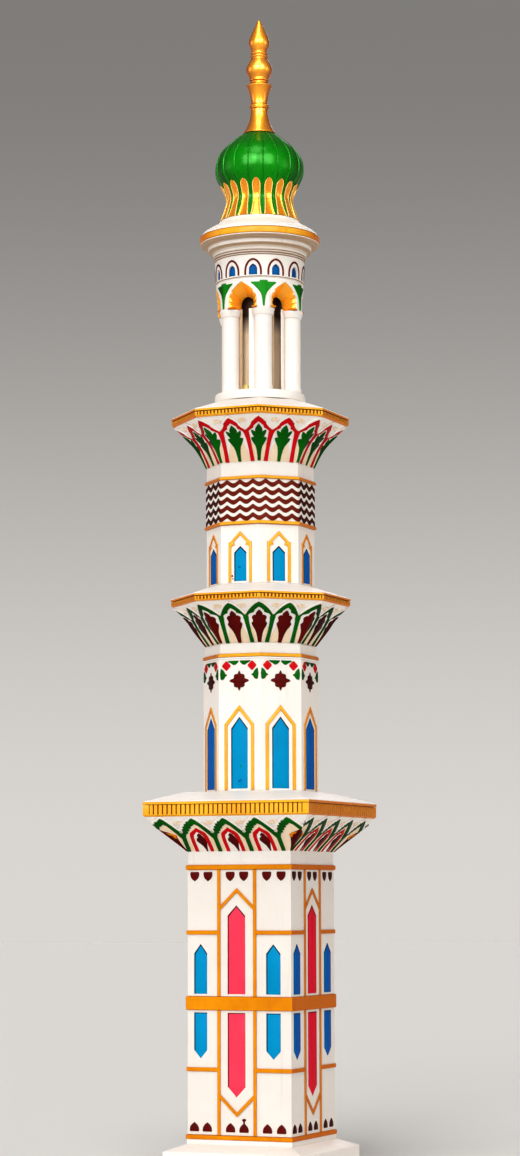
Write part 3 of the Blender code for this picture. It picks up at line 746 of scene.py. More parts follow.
def build_base():
    """Plinth, base shafts, bands and gilt bars."""
    masonry("plinth", [(PLINTH_HALF - 0.001, 0), (PLINTH_HALF, 0.002), (PLINTH_HALF, PLINTH_EDGE_TOP - 0.003),
                       (PLINTH_HALF - 0.003, PLINTH_EDGE_TOP), (SKIRTING_HALF, PLINTH_TOP)],
            4, "white_paint", ("plinth_slab",), 0.004, 0.003)
    masonry("skirting", [(SKIRTING_HALF, PLINTH_TOP), (SKIRTING_HALF, SKIRTING_TOP)], 4, "white_paint",
            ("base_skirting",))
    inner = BASE_BAND_HALF - 0.004
    for node, bottom, top in (("base_bottom_band", SKIRTING_TOP, BOTTOM_BAND_TOP),
                              ("base_middle_band", MIDDLE_BAND_BOTTOM, MIDDLE_BAND_TOP),
                              ("base_top_band", TOP_BAND_BOTTOM, BASE_TOP)):
        masonry(node + "_gilt", [(inner, bottom), (BASE_BAND_HALF, bottom + 0.0015),
                                 (BASE_BAND_HALF, top - 0.0015), (inner, top)],
                4, "gilt_paint", (node,), 0.003, 0.002)
    softened("base_lower_shaft", "base_lower_wall", "white_paint", "base_shade_white")
    softened("base_upper_shaft", "base_upper_wall", "white_paint", "base_shade_white")
    softened("lower_strapwork", "lower_gilt_bars", "gilt_paint")
    softened("upper_strapwork", "upper_gilt_bars", "gilt_paint")


def sunk_panel(angle, distance, panel, centre=0.0):
    """Coloured panel in its niche and a strip of painted shade along its edge; on a flank both lie flush."""
    flank = angle in FLANK_FACES
    width, foot, shoulder, apex = panel
    width += FLANK_SPREAD if flank else -0.0006
    plane = wall(angle, distance + (FLANK_PROUD if flank else -PANEL_DEPTH))
    fill = plate(lancet(width, foot, shoulder, apex, centre), 0.0010, 0.0004, PANEL_DEPTH - NICHE_DEPTH)
    # Strip of painted shade along the panel's left and top edges
    edge = plate(recess_shade_strip(width - 0.0010, foot, shoulder, apex, centre), 0.0014, 0.0003)
    return (fill, plane), (edge, plane)


def build_base_paint():
    """Coloured panels with strips of painted shade on their edges, hearts and buds of the four faces of the
    base.
    """
    low = MIDDLE_BAND_BOTTOM - PANEL_CLEAR_OF_BAND
    high = MIDDLE_BAND_TOP + PANEL_CLEAR_OF_BAND
    tall = ((high, 0.9895, 1.0290), (low, 0.3440, 0.3050))
    short = ((high, 0.8460, 0.8820), (low, 0.4800, 0.4485))
    heart = mirrored([(0, 0), (4, 3), (12, 9), (17, 17), (19, 27), (18.6, 33), (16, 36), (0, 36)])
    bud = mirrored([(0, 35), (5, 31), (12, 25), (17.5, 17), (19.5, 7), (18.5, 0), (0, 0)])
    drip = [(-5, 43), (-9, 46), (-6, 50), (1, 52), (8, 50), (9, 46), (4, 42), (3, 37), (4, 33), (-3, 33),
            (-2, 38)]
    heart, bud = [plate(in_mm(eased(outline, 2.0, True)), 0.0016, 0.0009) for outline in (heart, bud)]
    drip = plate(in_mm(eased(drip, 1.5, True)), 0.0013, 0.0006)
    fills = {"blue": [], "pink": []}
    edges = {"blue": [], "pink": []}
    dark = []
    for angle in FOUR_FACES:
        for (centre, width), levels, hue in ((LEFT_PANEL, short, "blue"), (MIDDLE_PANEL, tall, "pink"),
                                             (RIGHT_PANEL, short, "blue")):
            for level in levels:
                fill, edge = sunk_panel(angle, BASE_HALF, (width, *level), centre)
                fills[hue].append(fill)
                edges[hue].append(edge)
        face = wall(angle, BASE_HALF)
        dark += [(heart, shifted(face, centre, HEARTS_FOOT)) for centre in HEART_CENTRES]
        dark += [(bud, shifted(face, centre, BUDS_FOOT)) for centre in BUD_CENTRES]
    dark.append((drip, shifted(wall(0, BASE_HALF), BUD_CENTRES[DRIPPING_BUD], BUDS_FOOT)))
    for hue in fills:
        lay(f"base_{hue}_panels", fills[hue], hue + "_paint")
    for hue in edges:
        lay(f"base_{hue}_edges", edges[hue], hue + "_paint", "shaded_" + hue)
    lay("base_hearts_and_buds", dark, "maroon_paint")


# Balconies

def build_cornice(name, node, size, sides, bottom, top, teeth, tooth, margin, levels):
    """Gilt fascia: fillet over a sunk band with upright teeth on a rail, and a receding foot; the sunk band
    is painted a darker gold as painted shade.
    """
    apothem = size * face_ratio(sides)
    foot, rail, crest, fillet = [bottom + level * (top - bottom) for level in levels]
    sunk = apothem - 0.0090
    profile = ((7.5, bottom), (6.0, bottom + 0.0010), (4.0, foot), (1.6, foot + 0.0010), (1.6, rail - 0.0008),
               (9.0, rail), (9.0, fillet - 0.0005), (0.0, fillet), (0.0, top - 0.0010), (2.0, top))
    slots = ((8.7, rail + 0.0002), (8.7, fillet - 0.0005))
    for piece, outline, stands_for, edge, look in ((name, profile, (node,), 0.0009, "fascia_gold"),
                                                   (name + "_slots", slots, (), 0, "slot_gold")):
        outline = [((apothem - inset * MM) / face_ratio(sides), height) for inset, height in outline]
        masonry(piece, outline, sides, "gilt_paint", stands_for, 0.0020, edge, look)
    half = apothem * math.tan(math.pi / sides)
    pitch = 2 * (half - margin) / teeth
    reach = half - margin / 2 + 0.0003
    low = rail - 0.0015
    block = plate(eased(box(-tooth / 2, tooth / 2, low, crest), 0.0006, True), 0.0074, 0.0010)
    end = plate(box(-margin / 2, margin / 2, low, crest), 0.0071, 0.0006)
    items = []
    for side in range(sides):
        angle = 360 * side / sides
        face = wall(angle, sunk)
        items += [(block, shifted(face, -half + margin + pitch * (index + 0.5))) for index in range(teeth)]
        items += [(end, shifted(face, across), (angle - 180 / sides, angle + 180 / sides))
                  for across in (-reach, reach)]
    lay(name + "_teeth", items, "gilt_paint", "fascia_gold")


def build_balconies():
    """Necks, flares, gilt fascias and roofs of the three balconies."""
    square = (33, 0.0140, 0.0280, (0.07, 0.16, 0.80, 0.83))
    octagonal = (17, 0.0082, 0.0090, (0.13, 0.27, 0.66, 0.76))
    for name, sides, neck, neck_foot, gap, flare, size, top, inner, roof_top, teeth in (
            ("lower", 4, 0.2150, BASE_TOP, 0.001, LOWER_FLARE, LOWER_CORNICE_HALF, LOWER_CORNICE_TOP,
             LOWER_RADIUS, LOWER_ROOF_TOP, square),
            ("middle", 8, 0.2190, LOWER_BAND_TOP, 0.005, MIDDLE_FLARE, MIDDLE_CORNICE_RADIUS,
             MIDDLE_CORNICE_TOP, UPPER_RADIUS, MIDDLE_ROOF_TOP, octagonal),
            ("upper", 8, 0.2120, UPPER_BAND_TOP, 0.005, UPPER_FLARE, UPPER_CORNICE_RADIUS,
             UPPER_CORNICE_TOP, STEP_RADIUS, UPPER_ROOF_TOP, octagonal)):
        corbel = [(neck, neck_foot), (neck, flare[0][1] - gap), *smooth_outline(flare, FLARE_STEPS)]
        masonry(name + "_corbel", corbel, sides, "white_paint", (name + "_balcony_corbel",), 0.0025)
        build_cornice(name + "_fascia", name + "_balcony_cornice", size, sides, flare[-1][1], top, *teeth)
        roof = [(size - 0.0030, top), (size - 0.0040, top + 0.0030), (inner, roof_top)]
        masonry(name + "_roof", roof, sides, "white_paint", (name + "_balcony_roof",))


# Petals under the balconies

CURLS = in_mm(eased(mirrored([(0, -3), (4, -9), (10, -10), (15, -5), (15.5, 2), (11, 8), (5, 7), (2.5, 3),
                              (0, 9)]), 1.6, True))


def build_octagon_petals(prefix, outline, half, outer, inner, leaf, line_slot, leaf_slot, curls_at):
    """Sixteen petals, on the faces and folded over the hips, with outlines, raised rims and leaves."""
    flare = Flare(outline, 8)
    cuts = flare.lengths[1:-1]
    fork = outer[-1][1]
    slots = {"outlines": line_slot, "rims": "white_paint", "grounds": "cream_paint", "leaves": leaf_slot,
             "curls": "cream_paint"}
    items = {part: [] for part in slots}
    for fold in (False, True):
        room, foot = [flare.half_width(along) - half if fold else half for along in (fork, 0)]
        outer_line, inner_line = [both_sides(stretched(line, room / half)) for line in (outer, inner)]
        rim = horseshoe(moved_line(outer_line, 0.0072), moved_line(outer_line, -0.0020))
        ground = both_sides([(0, 0.087), (0.36 * room, 0.082), (0.62 * room - 0.0040, 0.071),
                             (0.80 * room - 0.0080, 0.056), (0.5 * (foot + room) - 0.0125, 0.034),
                             (foot - 0.0115, 0.001)])
        wide_leaf = eased(mirrored(stretched(leaf, 0.5 + 0.5 * room / half)), 0.0008, True)
        shapes = {
            "outlines": plate(horseshoe(outer_line, inner_line), 0.0030, 0.0009, cuts=cuts, fold=fold),
            "rims": plate(rim, 0.0050, 0.0018, cuts=cuts, fold=fold),
            "grounds": plate(ground, 0.0009, 0.0004, cuts=cuts, fold=fold),
            "leaves": plate(wide_leaf, 0.0026, 0.0010, cuts=cuts, fold=True, ridge=(0.0022, 0.014))}
        for angle in EIGHT_FACES:
            surface = flare.on_hip(angle + 22.5) if fold else flare.on_face(angle)
            for part, shape in shapes.items():
                items[part].append((shape, surface))
    stem = in_mm([(8.2, 1), (7.3, 55), (8.6, 95)]) + [(0.0112, fork - 0.012), (0, fork)]
    stem = plate(mirrored(stem), 0.0031, 0.0009, cuts=cuts)
    curls = plate(moved(CURLS, curls_at), 0.0040, 0.0018, cuts=cuts)
    for angle in EIGHT_FACES:
        for edge in (-half, half):
            items["outlines"].append((stem, flare.on_face(angle, edge)))
            items["curls"].append((curls, flare.on_face(angle, edge)))
    for part, slot in slots.items():
        lay(f"{prefix}_petal_{part}", items[part], slot)


def build_middle_petals():
    """Green outlines with maroon leaves."""
    outer = in_mm([(0, 186), (14, 178), (27, 165), (37, 152), (45, 139), (52, 125)])
    inner = in_mm([(0, 158), (9, 151), (17, 143), (19, 134), (29, 130), (38, 126), (42, 117), (43.5, 100)])
    leaf = in_mm([(0, 143), (7, 136), (12.5, 128), (14, 119), (20, 120), (28, 114), (29, 107), (25, 99),
                  (25, 92), (31, 84), (26, 72), (18, 57), (12.5, 40), (9, 20), (7, 2), (0, 2)])
    build_octagon_petals("middle_balcony", MIDDLE_FLARE, 0.052, outer, inner, leaf, "leaf_green_paint",
                         "maroon_paint", 0.168)


def build_upper_petals():
    """Red outlines with green leaves."""
    outer = in_mm([(0, 198), (14, 188), (31, 171), (33, 161), (41, 149), (53.5, 137)])
    inner = in_mm([(0, 169), (10, 161), (20, 152), (21.5, 142), (31, 137), (40, 129), (43.5, 117), (45, 100)])
    leaf = in_mm([(0, 158), (6, 150), (13, 140), (15.5, 131), (13.5, 122), (21, 127), (30, 132), (31.5, 126),
                  (27, 112), (19.5, 99), (25, 99), (32.5, 96), (29.5, 87), (23, 75), (14.5, 61), (10, 45),
                  (7, 23), (6, 2), (0, 2)])
    build_octagon_petals("upper_balcony", UPPER_FLARE, 0.0535, outer, inner, leaf, "red_paint",
                         "leaf_green_paint", 0.182)


def build_lower_petals():
    """Five ragged green petals on each face, cut at the hips, with red arches, dark seeds and folded hip
    leaves with a gilt painted highlight.
    """
    flare = Flare(LOWER_FLARE, 4)
    cuts = flare.lengths[1:-1]
    outer = in_mm([(-66, 98), (-61, 111), (-63, 119), (-55, 123), (-55, 134), (-46, 137), (-45, 148),
                   (-36, 149), (-32, 160), (-22, 160), (-14, 169), (-3, 176), (10, 168), (30, 147), (47, 126),
                   (58, 112), (66, 101)])
    inner = in_mm([(-58, 70), (-53, 84), (-49, 93), (-40, 96), (-41, 106), (-31, 109), (-31, 119), (-21, 122),
                   (-20, 131), (-10, 135), (0, 144), (13, 136), (28, 116), (41, 96), (49, 83), (58, 68)])
    beyond = in_mm([(-74, 102), (-70, 122), (-61, 140), (-47, 156), (-27, 172), (-4, 182.5), (14, 176),
                    (36, 154), (54, 131), (66, 116), (74, 104)])
    arch = in_mm([(-38.5, 1), (-39.5, 50), (-38, 80), (-34, 95), (-22, 106), (-8, 116), (0, 124), (12, 113),
                  (26, 102), (33, 92), (37, 74), (39, 45), (39.5, 1)])
    field = in_mm([(-26.5, 1), (-28, 45), (-27, 72), (-23, 87), (-12, 98), (-3, 108), (10, 98), (19, 86),
                   (24, 70), (27, 45), (28, 1)])
    seed = in_mm([(3, 95), (-3, 89), (-6, 81), (-2, 76), (-10, 68), (-13, 57), (-7, 46), (2, 30), (7, 12),
                  (9, 2), (13, 2), (14, 14), (17, 32), (21, 49), (19, 64), (13, 79), (9, 89)])
    hip_leaf = in_mm(mirrored([(0, 114), (9, 106), (24, 97), (38, 84), (26, 66), (16, 46), (7, 22), (2, 2),
                               (0, 2)]))
    # Gilt patch on the upper lobe of the folded hip leaf, as painted highlight
    hip_highlight = in_mm([(-40, 84), (-33, 93), (-15, 101), (-17, 92), (-26, 84), (-21, 74), (-27, 70)])
    ground = [(-0.0568, 0.001), *moved_line(inner, -0.0030), (0.0568, 0.001)]
    field = moved_line(field, -0.0030)
    seed = [(0.004 + (x - 0.004) * 1.22, y) for x, y in eased(seed, 0.0010, True)]
    stem = plate(in_mm(mirrored([(7.6, 1), (8.4, 90), (0, 100)])), 0.0033, 0.0009, cuts=cuts)
    parts = (("outlines", "leaf_green_paint", horseshoe(outer, inner), 0.0032, 0.0009),
             ("rims", "white_paint", horseshoe(beyond, moved_line(outer, -0.0020)), 0.0048, 0.0017),
             ("grounds", "cream_paint", ground, 0.0008, 0.0004),
             ("arches", "red_paint", horseshoe(arch, field), 0.0028, 0.0009),
             ("fields", "white_paint", field, 0.0013, 0.0004),
             ("seeds", "maroon_paint", seed, 0.0034, 0.0012),
             ("curls", "cream_paint", moved(stretched(CURLS, 1.2), 0.150), 0.0040, 0.0018),
             ("hip_leaves", "maroon_paint", hip_leaf, 0.0036, 0.0012),
             ("hip_highlights", "gilt_paint", hip_highlight, 0.0048, 0.0010))
    for part, slot, outline, top, ease in parts:
        shape = plate(outline, top, ease, cuts=cuts, fold=part == "hip_leaves")
        twin = plate(stretched(outline, -1), top, ease, cuts=cuts)
        items = []
        for angle in FOUR_FACES:
            petals = [flare.on_face(angle, -0.010 + 0.132 * petal) for petal in range(-2, 3)]
            gaps = [flare.on_face(angle, 0.056 + 0.132 * petal) for petal in range(-2, 2)]
            hip = flare.on_hip(angle + 45)
            if part in ("outlines", "rims", "grounds"):
                items += [(shape, petal, (angle - 45, angle + 45)) for petal in petals]
            if part in ("arches", "fields", "seeds"):
                items += [(shape, petal) for petal in petals[1:-1]]
            if part in ("outlines", "curls"):
                items += [(stem if part == "outlines" else shape, gap) for gap in gaps]
            if part in ("hip_leaves", "hip_highlights"):
                items.append((shape, hip))
            if part == "hip_highlights":
                items.append((twin, hip))
        lay("lower_balcony_" + part, items, slot)


# Octagonal stages

def build_stages():
    """Shafts, gilt bands and the striped drum."""
    softened("lower_octagon_shaft", "lower_octagon_wall", "white_paint")
    softened("upper_octagon_shaft", "upper_octagon_wall", "white_paint")
    masonry("stripe_drum", [(STRIPES_RADIUS, STRIPES_BOTTOM), (STRIPES_RADIUS, STRIPES_TOP)], 8,
            "white_paint", ("chevron_drum",))
    for node, radius, bottom, top in (
            ("lower_octagon_band", LOWER_BAND_RADIUS, LOWER_SHAFT_TOP, LOWER_BAND_TOP),
            ("upper_octagon_lower_band", UPPER_BAND_RADIUS, UPPER_SHAFT_TOP, STRIPES_BOTTOM),
            ("upper_octagon_top_band", UPPER_BAND_RADIUS, STRIPES_TOP, UPPER_BAND_TOP)):
        masonry(node + "_gilt", [(radius - 0.004, bottom), (radius, bottom + 0.0020),
                                 (radius, bottom + 0.0055), (radius - 0.0012, bottom + 0.0065),
                                 (radius - 0.0012, top - 0.0040), (radius - 0.004, top)],
                8, "gilt_paint", (node,), 0.002, 0.001, "fascia_gold")
    outer = LOWER_RADIUS + 0.0022
    masonry("white_fillet", [(LOWER_RADIUS - 0.001, LOWER_SHAFT_TOP - 0.0075),
                             (outer, LOWER_SHAFT_TOP - 0.0060), (outer, LOWER_SHAFT_TOP - 0.0002)],
            8, "white_paint", (), edge=0.001)


def build_window_paint():
    """Blue panels with strips of painted shade on their edges and gilt frames of both octagonal stages, with
    the small marks on the front panels.
    """
    plain = both_sides(in_mm([(0, 1796), (62, 1722), (62, 1470)]))
    outer = in_mm([(0, 2473), (38, 2435), (41, 2431), (49, 2431), (49, 2275)])
    inner = in_mm([(0, 2458), (28, 2430), (25, 2425), (21, 2418.5), (29.5, 2419.5), (33, 2416), (38, 2411),
                   (38, 2275)])
    blue = []
    edges = []
    gilt = []
    for radius, window, outline in (
            (LOWER_RADIUS, LOWER_WINDOW, horseshoe(plain, moved_line(plain, -0.0125))),
            (UPPER_RADIUS, UPPER_WINDOW, horseshoe(both_sides(outer), both_sides(inner)))):
        distance = radius * face_ratio(8)
        shape = plate(outline, 0.0034, 0.0013)
        for angle in EIGHT_FACES:
            fill, edge = sunk_panel(angle, distance, window)
            blue.append(fill)
            edges.append(edge)
            gilt.append((shape, wall(angle, distance)))
    lay("window_panels", blue, "blue_paint")
    lay("window_edge_shade", edges, "blue_paint", "shaded_blue")
    build_marks()
    lay("window_frames", gilt, "gilt_paint", "fascia_gold")


def build_marks():
    """Small marks on the front panels: a green speck, two dents and a chipped edge."""
    speck = in_mm([(1, 1566), (3, 1568), (6, 1563), (8, 1557), (6, 1555), (3, 1560)])
    dent = in_mm([(-8, 1504), (-4, 1499), (3, 1500), (8, 1506), (6, 1513), (2, 1510), (-1, 1506), (-5, 1508)])
    mark = in_mm([(-8, 2330), (-2, 2328), (3, 2333), (0, 2337), (-5, 2336), (-9, 2341)])
    chips = [in_mm([(-37, 2296), (-31, 2295), (-30, 2300), (-33, 2304), (-37, 2302)]),
             in_mm([(-34, 2286), (-30, 2285), (-29, 2290), (-33, 2291)])]
    low = wall(0, LOWER_RADIUS * face_ratio(8) - PANEL_DEPTH + 0.0010)
    high = wall(0, UPPER_RADIUS * face_ratio(8) - PANEL_DEPTH + 0.0010)
    face = wall(0, UPPER_RADIUS * face_ratio(8))
    lay("green_speck", [(plate(speck, 0.0007, 0.0003), low)], "leaf_green_paint", "bright_green")
    dents = [(plate(outline, 0.0006, 0.0003), surface) for outline, surface in ((dent, low), (mark, high))]
    lay("panel_dents", dents, "blue_paint", "deep_blue")
    lay("wall_chips", [(plate(chip, 0.0006, 0.0003), face) for chip in chips], "maroon_paint")


def build_garland():
    """Leaves, red lozenges and a maroon star under the ring of the lower octagonal stage."""
    half_leaf = [(1, 1968), (48, 1968), (45, 1963), (34, 1958), (24, 1951), (14, 1953), (5, 1961)]
    low_leaf = [(78, 1939), (70, 1934), (63, 1927), (60, 1919), (50, 1913), (59, 1907), (64, 1898),
                (73, 1894), (79, 1897), (81, 1917)]
    lozenge = [(54, 1969), (74, 1948.5), (54, 1928), (34, 1948.5)]
    quarter = [(0, 40), (5, 31), (6, 26), (14, 26), (21, 23), (23, 16), (22, 10), (29, 6.5), (36, 5)]
    star = moved(mirrored(quarter + [(41.5, 0)] + [(x, -y) for x, y in reversed(quarter)]), 1890.5)
    distance = LOWER_RADIUS * face_ratio(8)
    for name, slot, parts in (
            ("leaves", "leaf_green_paint", ((half_leaf, 2.0, 0.0020, 0.0010),
                                            (low_leaf, 2.5, 0.0020, 0.0010))),
            ("lozenges", "red_paint", ((lozenge, 6.0, 0.0026, 0.0014),)),
            ("stars", "maroon_paint", ((star, 2.2, 0.0022, 0.0011),))):
        items = []
        for outline, radius, top, ease in parts:
            line = in_mm(eased(outline, radius, True))
            for sign in (-1, 1) if name != "stars" else (1,):
                shape = plate(stretched(line, sign), top, ease)
                items += [(shape, wall(angle, distance)) for angle in EIGHT_FACES]
        lay("garland_" + name, items, slot)


def build_stripes():
    """Five wavy maroon stripes round the drum, three waves to a face."""
    distance = STRIPES_RADIUS * face_ratio(8)
    half = distance * math.tan(math.pi / 8) + 0.0004
    waves = 3
    steps = 36
    rise = 0.0140
    thick = 0.0185
    pitch = (STRIPES_TOP - STRIPES_BOTTOM - rise - thick) / 4
    middle = []
    for step in range(steps + 1):
        t = step / steps
        fall = abs((t * waves) % 1 - 0.5) * 2
        middle.append((2 * t * half - half, rise * (0.5 - math.sin(fall * math.pi / 2) ** 1.3)))
    items = []
    for stripe in range(5):
        low = STRIPES_BOTTOM + rise / 2 + pitch * stripe
        shape = plate(horseshoe(moved(middle, low), moved(middle, low + thick)), 0.0014, 0.0008)
        items += [(shape, wall(angle, distance)) for angle in EIGHT_FACES]
    lay("drum_stripes", items, "maroon_paint", "brown_red")


# Lantern

ARCH_HALF = 0.0615
ARCH_LINE = in_mm([(61.5, 3361), (61.5, 3394), (60.5, 3407), (57, 3417), (46.5, 3423), (48, 3429),
                   (45, 3435), (36, 3442), (18, 3455), (0, 3467)])
THROAT_LINE = in_mm([(46, 3361), (46, 3380), (42, 3394), (30, 3406), (14, 3413), (0, 3416)])
FAN_CENTRE = -0.0008
SILL_TURN = 12.5
LINING_ROLLS = ((0.0130, 0.0130, 0.0075), (0.0370, 0.0125, 0.0065), (0.0590, 0.0100, 0.0040))


def there_and_back(half):
    """Open line from its first half, which ends on the middle line."""
    return list(half) + [(-x, y) for x, y in reversed(half[:-1])]


def arch_path():
    """Edge of one arch from its right foot over the point to its left foot, in fine steps."""
    path = there_and_back(eased(ARCH_LINE, 0.0040))
    fine = []
    for (x0, y0), (x1, y1) in zip(path, path[1:]):
        count = max(1, math.ceil(abs(x1 - x0) / 0.009))
        fine += [(x0 + (x1 - x0) * step / count, y0 + (y1 - y0) * step / count) for step in range(count)]
    return fine + [path[-1]]


def build_arcade():
    """Ring of six arches with piers, as one closed wall."""
    bay = ARCADE_RADIUS * math.radians(BAY_TURN)
    path = arch_path()
    pier = bay - 2 * ARCH_HALF
    piers = [(-ARCH_HALF - pier * step / 4, path[-1][1]) for step in range(1, 4)]
    line = [(math.degrees((x - bay * index) / ARCADE_RADIUS), y)
            for index in range(BAYS) for x, y in path + piers]
    points = []
    for angle, foot in line:
        for radius, height in ((ARCADE_RADIUS, foot), (ARCADE_RADIUS, ARCADE_TOP), (ARCADE_BORE, ARCADE_TOP),
                               (ARCADE_BORE, foot)):
            points.append(place(LANTERN_TURN + BAY_TURN / 2 + angle, radius, 0, height))
    faces = []
    for index, (angle, _) in enumerate(line):
        here = 4 * index
        there = (here + 4) % len(points)
        faces.append((here + 3, there + 3, there, here))
        if abs(angle - line[there // 4][0]) > 1e-6:
            faces += [(here + side, there + side, there + side + 1, here + side + 1) for side in range(3)]
    obj = add_object("arcade_wall", points, faces, "white_paint", ("lantern_arcade",), 0)
    welded(obj, False)
    evened(obj, 0.0012, 40.0)


def even_steps(path, count):
    """Points at even distances along a line, with their distance from the nearer end."""
    lengths = run_lengths(path)
    stops = [lengths[-1] * step / count for step in range(count + 1)]
    return [(*spot_on(path, lengths, along)[:2], min(along, lengths[-1] - along)) for along in stops]


def build_linings():
    """Gilt vault in every arch: it narrows inwards, with rolls along its feet."""
    count = 120
    mouth = even_steps(arch_path(), count)
    throat = even_steps(there_and_back(smooth_outline(THROAT_LINE, 6)), count)
    depths = (0.0, 0.02, 0.06, 0.12, 0.2, 0.3, 0.4, 0.5, 0.6, 0.7, 0.8, 0.9, 0.97, 1.0)
    points = []
    faces = []
    for bay in range(BAYS):
        offset = len(points)
        for (x0, y0, from_foot), (x1, y1, _) in zip(mouth, throat):
            roll = sum(height * math.cos(math.pi / 2 * min(1.0, abs(from_foot - centre) / half)) ** 2
                       for centre, half, height in LINING_ROLLS)
            for depth in depths:
                closing = depth ** 0.8
                x = x0 + (x1 - x0) * closing
                y = y0 + (y1 - y0) * closing
                lift = 0.0012 + roll * min(1.0, depth / 0.12) * min(1.0, (1.02 - depth) / 0.15)
                lift /= math.hypot(x, y - VAULT_CENTRE)
                turn = LANTERN_TURN + BAY_TURN * (bay + 0.5) + math.degrees((x - lift * x) / ARCADE_RADIUS)
                radius = ARCADE_RADIUS - 0.0014 - (ARCADE_RADIUS - ARCADE_BORE) * depth
                points.append(place(turn, radius, 0, y - lift * (y - VAULT_CENTRE)))
        sides = len(depths)
        for here in range(offset, offset + sides * count):
            if (here - offset + 1) % sides:
                faces.append((here, here + sides, here + sides + 1, here + 1))
    obj = add_object("arch_linings", points, faces, "finial_gilt", (), 180.0, "vault_gold")
    thickness = obj.modifiers.new("thickness", "SOLIDIFY")
    thickness.thickness = 0.0006
    thickness.offset = -1
    sill = plate(eased(box(-0.0100, 0.0100, 0, 0.0052), 0.001, True), 0.0050, 0.0015, -0.030)
    sills = [(sill, drum(LANTERN_TURN + BAY_TURN * index + turn, ARCADE_RADIUS, COLUMN_TOP + 0.0002))
             for index in range(BAYS) if index != STRAY_COLUMN for turn in (-SILL_TURN, SILL_TURN)]
    lay("arch_sills", sills, "gilt_paint")


def build_columns():
    """Round columns with a flared foot and a spreading capital; one stands off its regular place."""
    foot = in_mm([(37.2, 0), (37.6, 6), (37.2, 16), (35.8, 21), (35.2, 27)], LANTERN_FLOOR)
    head = in_mm([(35.2, 0), (35.6, 3), (38.6, 4.6), (40, 8), (42, 16), (44.6, 24), (45.6, 28), (45.2, 30.6)],
                 CAPITAL_FOOT)
    for index in range(BAYS):
        stray = index == STRAY_COLUMN
        turn = LANTERN_TURN + BAY_TURN * index - STRAY_TURN * stray
        x, y, _ = place(turn, COLUMN_CIRCLE - STRAY_INSET * stray)
        turned(f"column_{index + 1}", foot + head, "white_paint", (f"lantern_column_{index + 1}",), 40,
               (x, y), 0.0020)


def build_fans():
    """Green fan with a middle ridge over each column."""
    fan = mirrored([(0, 3467.6), (15.5, 3467.6), (16, 3461.6), (51, 3461.6), (50, 3457), (38, 3447.5),
                    (25, 3433.5), (14, 3420.5), (7.5, 3405.5), (5, 3388), (3.2, 3366.5), (0, 3366.5)])
    shape = plate(in_mm(fan), 0.0014, 0.0009, cuts=[3.375 + 0.012 * step for step in range(8)], fold=True,
                  ridge=(0.0035, 0.020), columns=[0.008 * step for step in range(-5, 6)])
    items = [(shape, shifted(drum(LANTERN_TURN + BAY_TURN * index, ARCADE_RADIUS), FAN_CENTRE))
             for index in range(BAYS)]
    lay("arcade_fans", items, "leaf_green_paint", "bright_green")


def carved(obj, cutters):
    """Cuts prisms out of a piece; the cutters are shapes laid on surfaces."""
    points, faces = merged(cutters)
    mesh = bpy.data.meshes.new("cutter")
    mesh.from_pydata(points, [], faces)
    cutter = bpy.data.objects.new("cutter", mesh)
    bpy.context.collection.objects.link(cutter)
    cut = obj.modifiers.new("niches", "BOOLEAN")
    cut.operation = "DIFFERENCE"
    cut.solver = "EXACT"
    cut.object = cutter
    bpy.context.view_layer.update()
    finished = bpy.data.meshes.new_from_object(obj.evaluated_get(bpy.context.evaluated_depsgraph_get()))
    obj.modifiers.remove(cut)
    obj.data = finished
    bpy.data.objects.remove(cutter)


def drum_radius(height):
    """Radius of the lantern's drum, which widens a little upwards."""
    return ARCADE_RADIUS + (DRUM_TOP_RADIUS - ARCADE_RADIUS) * (height - ARCADE_TOP) / (DRUM_TOP - ARCADE_TOP)


def build_drum():
    """Drum with twelve round-headed windows under maroon arches."""
    window = in_mm([(-16.5, 3490), (16.5, 3490), (16.5, 3513), (14.5, 3521), (9, 3528), (0, 3533.5),
                    (-9, 3528), (-14.5, 3521), (-16.5, 3513)])
    profile = in_mm([(150, 0.3), (174, 0.3), (174.6, 2.4), (169.4, 3), (169.4, 6.6), (175.6, 7.4),
                     (175.2, 9.2)], ARCADE_TOP) + [(DRUM_TOP_RADIUS, DRUM_TOP), (0.1500, DRUM_TOP)]
    obj = turned("drum_wall", profile, "white_paint", ("lantern_drum",), edge=0.0006)
    angles = range(15, 375, 30)
    niche = prism(window, -DRUM_WINDOW_DEPTH, 0.0100)
    carved(obj, [(niche, wall(angle, DRUM_WINDOW_PLANE)) for angle in angles])
    obj.data.materials.clear()
    obj.data.materials.append(PAINTS["white_paint"])
    obj.data.set_sharp_from_angle(angle=math.radians(30))
    pane = plate(window, 0.0010, 0.0003, -0.002)
    panes = [(pane, wall(angle, DRUM_WINDOW_PLANE - DRUM_WINDOW_DEPTH)) for angle in angles]
    lay("drum_panes", panes, "blue_paint", "deep_blue")
    arch = smooth_outline(in_mm([(31, 3489), (31, 3508), (28, 3524), (21, 3538), (11, 3547.5), (0, 3551)]), 4)
    arch = there_and_back(arch)
    hood = plate(moved_line(arch, -0.0040) + moved_line(arch, 0.0040)[::-1], 0.0020, 0.0010)
    lay("drum_hoods", [(hood, drum(angle, drum_radius)) for angle in angles], "maroon_paint", "brown_red")


